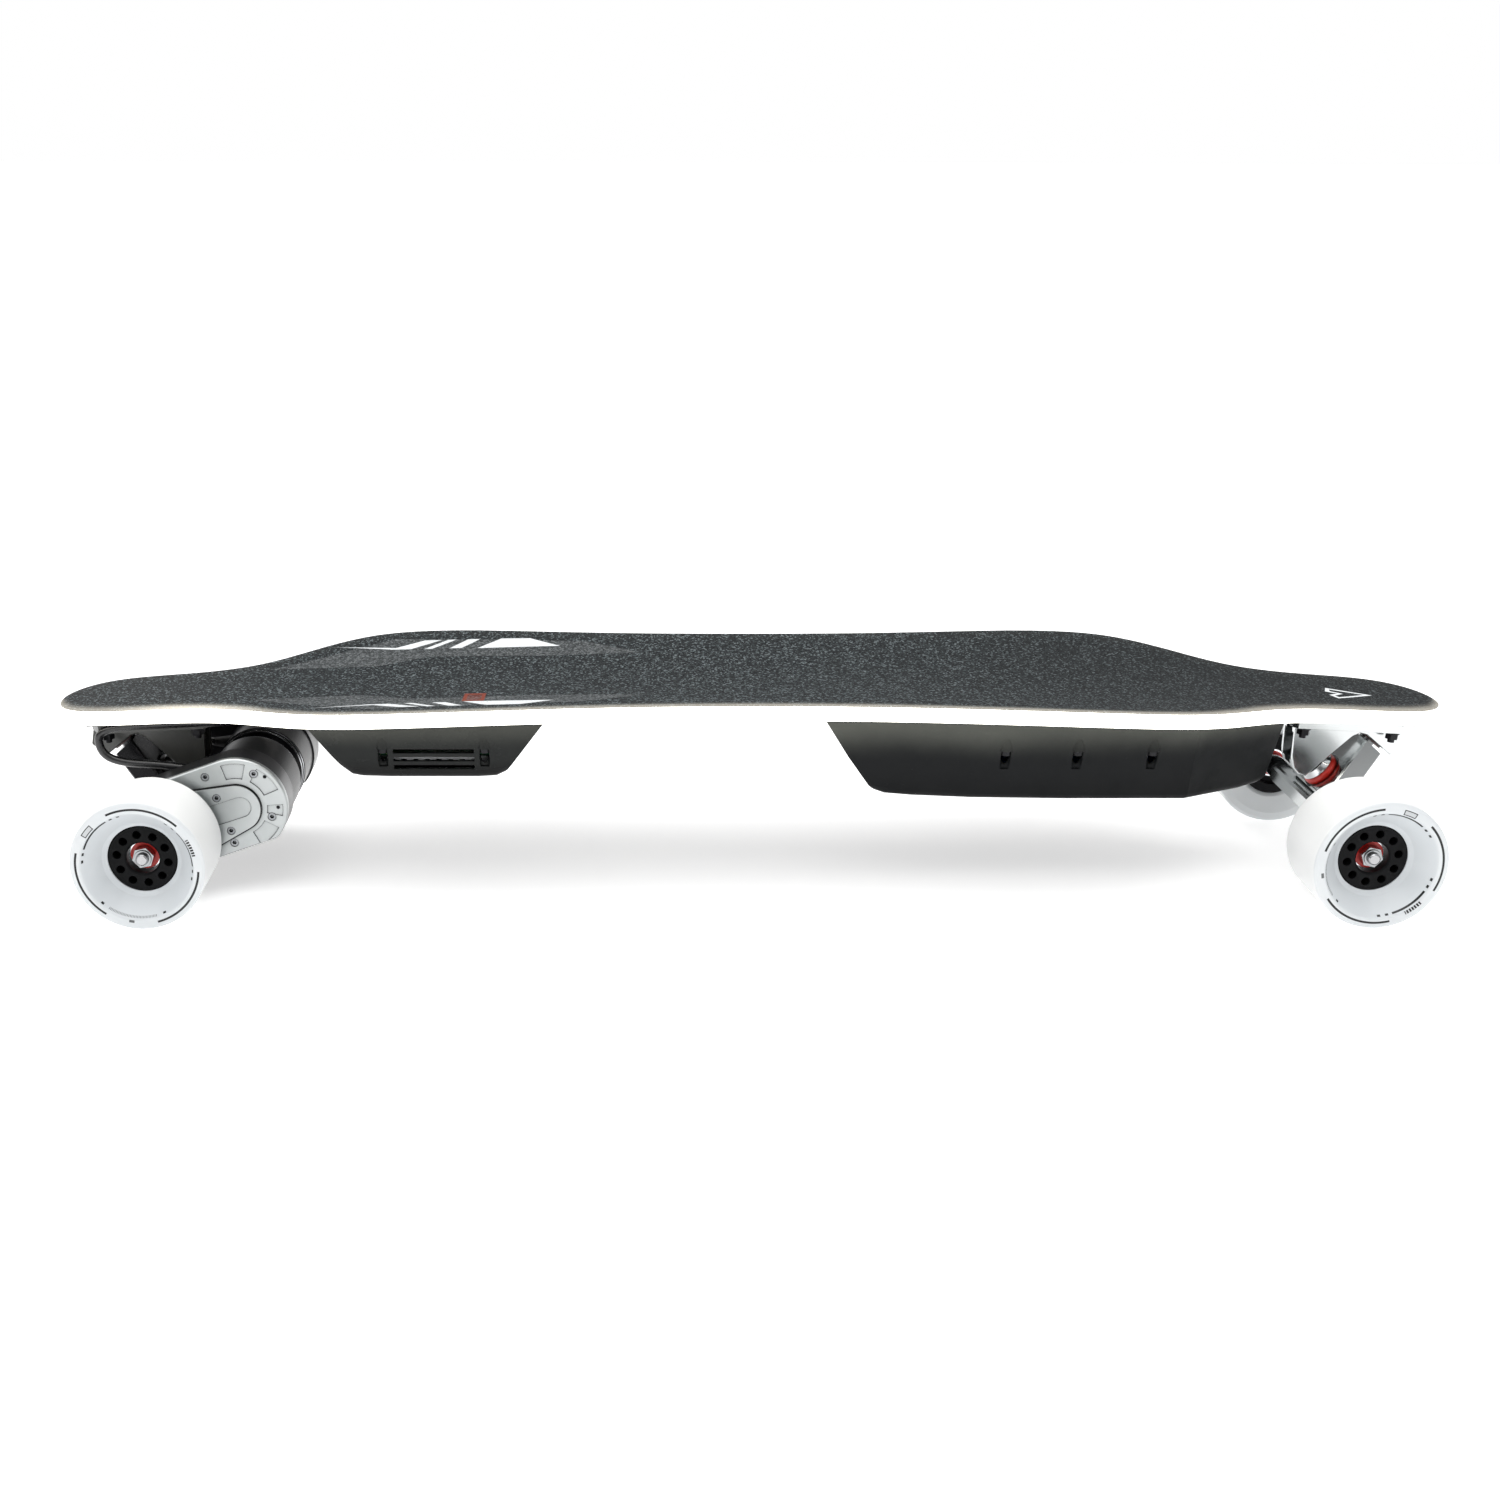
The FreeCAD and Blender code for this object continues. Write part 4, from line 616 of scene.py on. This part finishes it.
def spline_points(name, route, side):
    """Points along a smooth NURBS spline with the route as its control points."""
    curve = bpy.data.curves.new(name, "CURVE")
    curve.dimensions = "3D"
    spline = curve.splines.new("NURBS")
    spline.points.add(len(route) - 1)
    for point, (x, z) in zip(spline.points, route):
        point.co = (x * MM, side * LEAD_Y, z * MM, 1.0)
    spline.order_u = 3
    spline.use_endpoint_u = True
    spline.resolution_u = 16
    holder = bpy.data.objects.new(name, curve)
    bpy.context.scene.collection.objects.link(holder)
    bpy.context.view_layer.update()
    line = bpy.data.meshes.new_from_object(holder)
    points = [vertex.co.copy() for vertex in line.vertices]
    bpy.data.objects.remove(holder)
    return points


def motor_lead(name, side, material):
    """A motor's lead, a tube along a smooth spline."""
    path = spline_points(name + "_line", LEAD_ROUTE, side)
    across = Vector((0.0, 1.0, 0.0))
    points = []
    for k, point in enumerate(path):
        along = (path[min(k + 1, len(path) - 1)] - path[max(k - 1, 0)]).normalized()
        over = along.cross(across)
        for step in range(LEAD_STEPS):
            angle = 2 * math.pi * step / LEAD_STEPS
            points.append(point + (across * math.cos(angle) + over * math.sin(angle)) * LEAD_RADIUS)
    lead = mesh_object(name, points, ring_faces(len(path), LEAD_STEPS), material)
    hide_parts("motor_leads")
    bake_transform(lead)


def bushing(name, sign, ends, material):
    """A kingpin bushing, lathed, between the hanger and its washer."""
    web, washer = [truck_point(KINGPIN_S, n, sign) for n in ends]
    axis = washer - web
    across = Vector((0.0, 1.0, 0.0))
    over = axis.normalized().cross(across)
    points = []
    for radius, part in BUSHING_PROFILE:
        for step in range(BUSHING_STEPS):
            angle = 2 * math.pi * step / BUSHING_STEPS
            outward = across * math.cos(angle) + over * math.sin(angle)
            points.append(web + axis * part + outward * radius * MM)
    faces = ring_faces(len(BUSHING_PROFILE), BUSHING_STEPS)[1:-1]
    last = (len(BUSHING_PROFILE) - 1) * BUSHING_STEPS
    for k in range(BUSHING_STEPS):
        after = (k + 1) % BUSHING_STEPS
        faces.append((k, last + k, last + after, after))
    made = mesh_object(name, points, faces, material)
    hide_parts("kingpin_bushings")
    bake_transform(made)


def bushing_material(name, dark, light):
    """Cast urethane with a cloudy colour, a little depth, and painted shade in its corners."""
    g = Graph(name)
    cloud = g.noise(60.0, 4.0)
    colour = g.mix(g.clamp(cloud, 0.3, 0.7), dark, light)
    # painted shade: the colour darkens deep in corners
    colour = g.mix(g.corner_shade(0.004), colour, tuple(c * 0.2 for c in dark))
    g.set(base=colour, roughness=g.blend(cloud, 0.26, 0.38), subsurface=0.1, coat=0.15, coat_roughness=0.2,
          normal=g.bump(g.noise(900.0, 2.0), 0.05, 0.0002))
    g.bsdf.inputs["Subsurface Radius"].default_value = (0.003, 0.0005, 0.0003)
    return g.material


def lead_material():
    """Black silicone sleeve with fine lengthways ribs and a soft shine."""
    g = Graph("lead_sleeve")
    weave = g.noise(500.0, 3.0)
    colour = g.mix(g.clamp(g.noise(30.0, 4.0), 0.3, 0.7), (0.006, 0.006, 0.007), (0.012, 0.012, 0.013))
    g.set(base=colour, roughness=g.blend(weave, 0.22, 0.36), coat=0.25, coat_roughness=0.1,
          normal=g.bump(weave, 0.12, 0.0002))
    return g.material


sleeve = lead_material()
red_urethane = bushing_material("bushing_red", (0.50, 0.013, 0.005), (0.66, 0.022, 0.010))
black_urethane = bushing_material("bushing_black", (0.010, 0.009, 0.009), (0.018, 0.016, 0.016))
motor_lead("left_motor_lead", 1, sleeve)
motor_lead("right_motor_lead", -1, sleeve)
for truck, sign, urethane in (("front_truck", 1, red_urethane), ("rear_truck", -1, black_urethane)):
    bushing(truck + "_upper_bushing", sign, UPPER_BUSHING_N, urethane)
    bushing(truck + "_lower_bushing", sign, LOWER_BUSHING_N, urethane)


# --------------------------------------------------------------- floor and light
def floor_object():
    """Wide pale floor, faintly lit from below."""
    size = FLOOR_RADIUS
    mesh = bpy.data.meshes.new("floor")
    ring = [(size * math.cos(a), size * math.sin(a), 0.0) for a in (2 * math.pi * k / 96 for k in range(96))]
    mesh.from_pydata(ring, [], [tuple(range(96))])
    floor = bpy.data.objects.new("floor", mesh)
    bpy.context.scene.collection.objects.link(floor)
    g = Graph("floor_pale")
    pale = g.mix(g.clamp(g.noise(3.0, 3.0), 0.3, 0.7), (0.90, 0.90, 0.90), (0.91, 0.91, 0.91))
    g.set(base=pale, roughness=0.6,
          specular=0.25, glow=(1.0, 1.0, 1.0), glow_strength=0.50)
    mesh.materials.append(g.material)


def area_light(name, place, target, width, height, power):
    data = bpy.data.lights.new(name, "AREA")
    data.shape = "RECTANGLE"
    data.size = width
    data.size_y = height
    data.energy = power
    light = bpy.data.objects.new(name, data)
    light.location = place
    light.rotation_euler = (Vector(target) - Vector(place)).to_track_quat("-Z", "Y").to_euler()
    bpy.context.scene.collection.objects.link(light)


def studio():
    """Soft sun, two weak panels, and a sky with a dark band for polished metal to reflect."""
    world = bpy.data.worlds.new("studio")
    bpy.context.scene.world = world
    world.use_nodes = True
    tree = world.node_tree
    tree.nodes.clear()
    place = tree.nodes.new("ShaderNodeTexCoord")
    axes = tree.nodes.new("ShaderNodeSeparateXYZ")
    ramp = tree.nodes.new("ShaderNodeValToRGB")
    rays = tree.nodes.new("ShaderNodeLightPath")
    lit = tree.nodes.new("ShaderNodeBackground")
    seen = tree.nodes.new("ShaderNodeBackground")
    choose = tree.nodes.new("ShaderNodeMixShader")
    output = tree.nodes.new("ShaderNodeOutputWorld")
    tree.links.new(place.outputs["Generated"], axes.inputs[0])
    tree.links.new(axes.outputs[2], ramp.inputs[0])
    tree.links.new(ramp.outputs[0], lit.inputs[0])
    tree.links.new(rays.outputs["Is Camera Ray"], choose.inputs[0])
    tree.links.new(lit.outputs[0], choose.inputs[1])
    tree.links.new(seen.outputs[0], choose.inputs[2])
    tree.links.new(choose.outputs[0], output.inputs[0])
    stops = ((0.0, 1.0), (0.08, 0.95), (0.16, 0.22), (0.42, 0.20), (0.62, 0.85), (1.0, 1.0))
    marks = ramp.color_ramp.elements
    while len(marks) < len(stops):
        marks.new(0.5)
    for mark, (position, level) in zip(marks, stops):
        mark.position = position
        mark.color = (level, level, level * 1.005, 1.0)
    lit.inputs["Strength"].default_value = 0.9
    seen.inputs["Strength"].default_value = 1.0
    seen.inputs["Color"].default_value = (1.0, 1.0, 1.0, 1.0)
    sun = bpy.data.lights.new("soft_sun", "SUN")
    sun.energy = 2.0
    sun.angle = math.radians(70)
    sun_object = bpy.data.objects.new("soft_sun", sun)
    sun_object.rotation_euler = (math.radians(6), math.radians(-8), 0.0)
    bpy.context.scene.collection.objects.link(sun_object)
    area_light("front_left", (-1.6, -2.2, 1.5), (0, 0, 0.05), 1.6, 1.2, 5.0)
    area_light("front_right", (1.8, -2.0, 1.2), (0.1, 0, 0.05), 1.4, 1.0, 4.0)


floor_object()
studio()

# ----------------------------------------------------------------------- camera
camera_data = bpy.data.cameras.new("camera")
camera_data.sensor_width = SENSOR
camera_data.lens = FOCAL / FRAME_PIXELS * SENSOR
camera_data.shift_x = SHIFT / FRAME_PIXELS
camera_data.clip_start = 0.01
camera = bpy.data.objects.new("camera", camera_data)
forward = Vector((math.sin(YAW) * math.cos(PITCH), math.cos(YAW) * math.cos(PITCH), -math.sin(PITCH)))
right = Vector((math.cos(YAW), -math.sin(YAW), 0.0))
up = right.cross(forward)
level_right = right * math.cos(ROLL) + up * math.sin(ROLL)
level_up = up * math.cos(ROLL) - right * math.sin(ROLL)
camera.matrix_world = Matrix((
    (level_right.x, level_up.x, -forward.x, CAMERA_PLACE[0]),
    (level_right.y, level_up.y, -forward.y, CAMERA_PLACE[1]),
    (level_right.z, level_up.z, -forward.z, CAMERA_PLACE[2]),
    (0.0, 0.0, 0.0, 1.0)))
bpy.context.scene.collection.objects.link(camera)
bpy.context.scene.camera = camera
bpy.context.scene.view_settings.view_transform = "Standard"
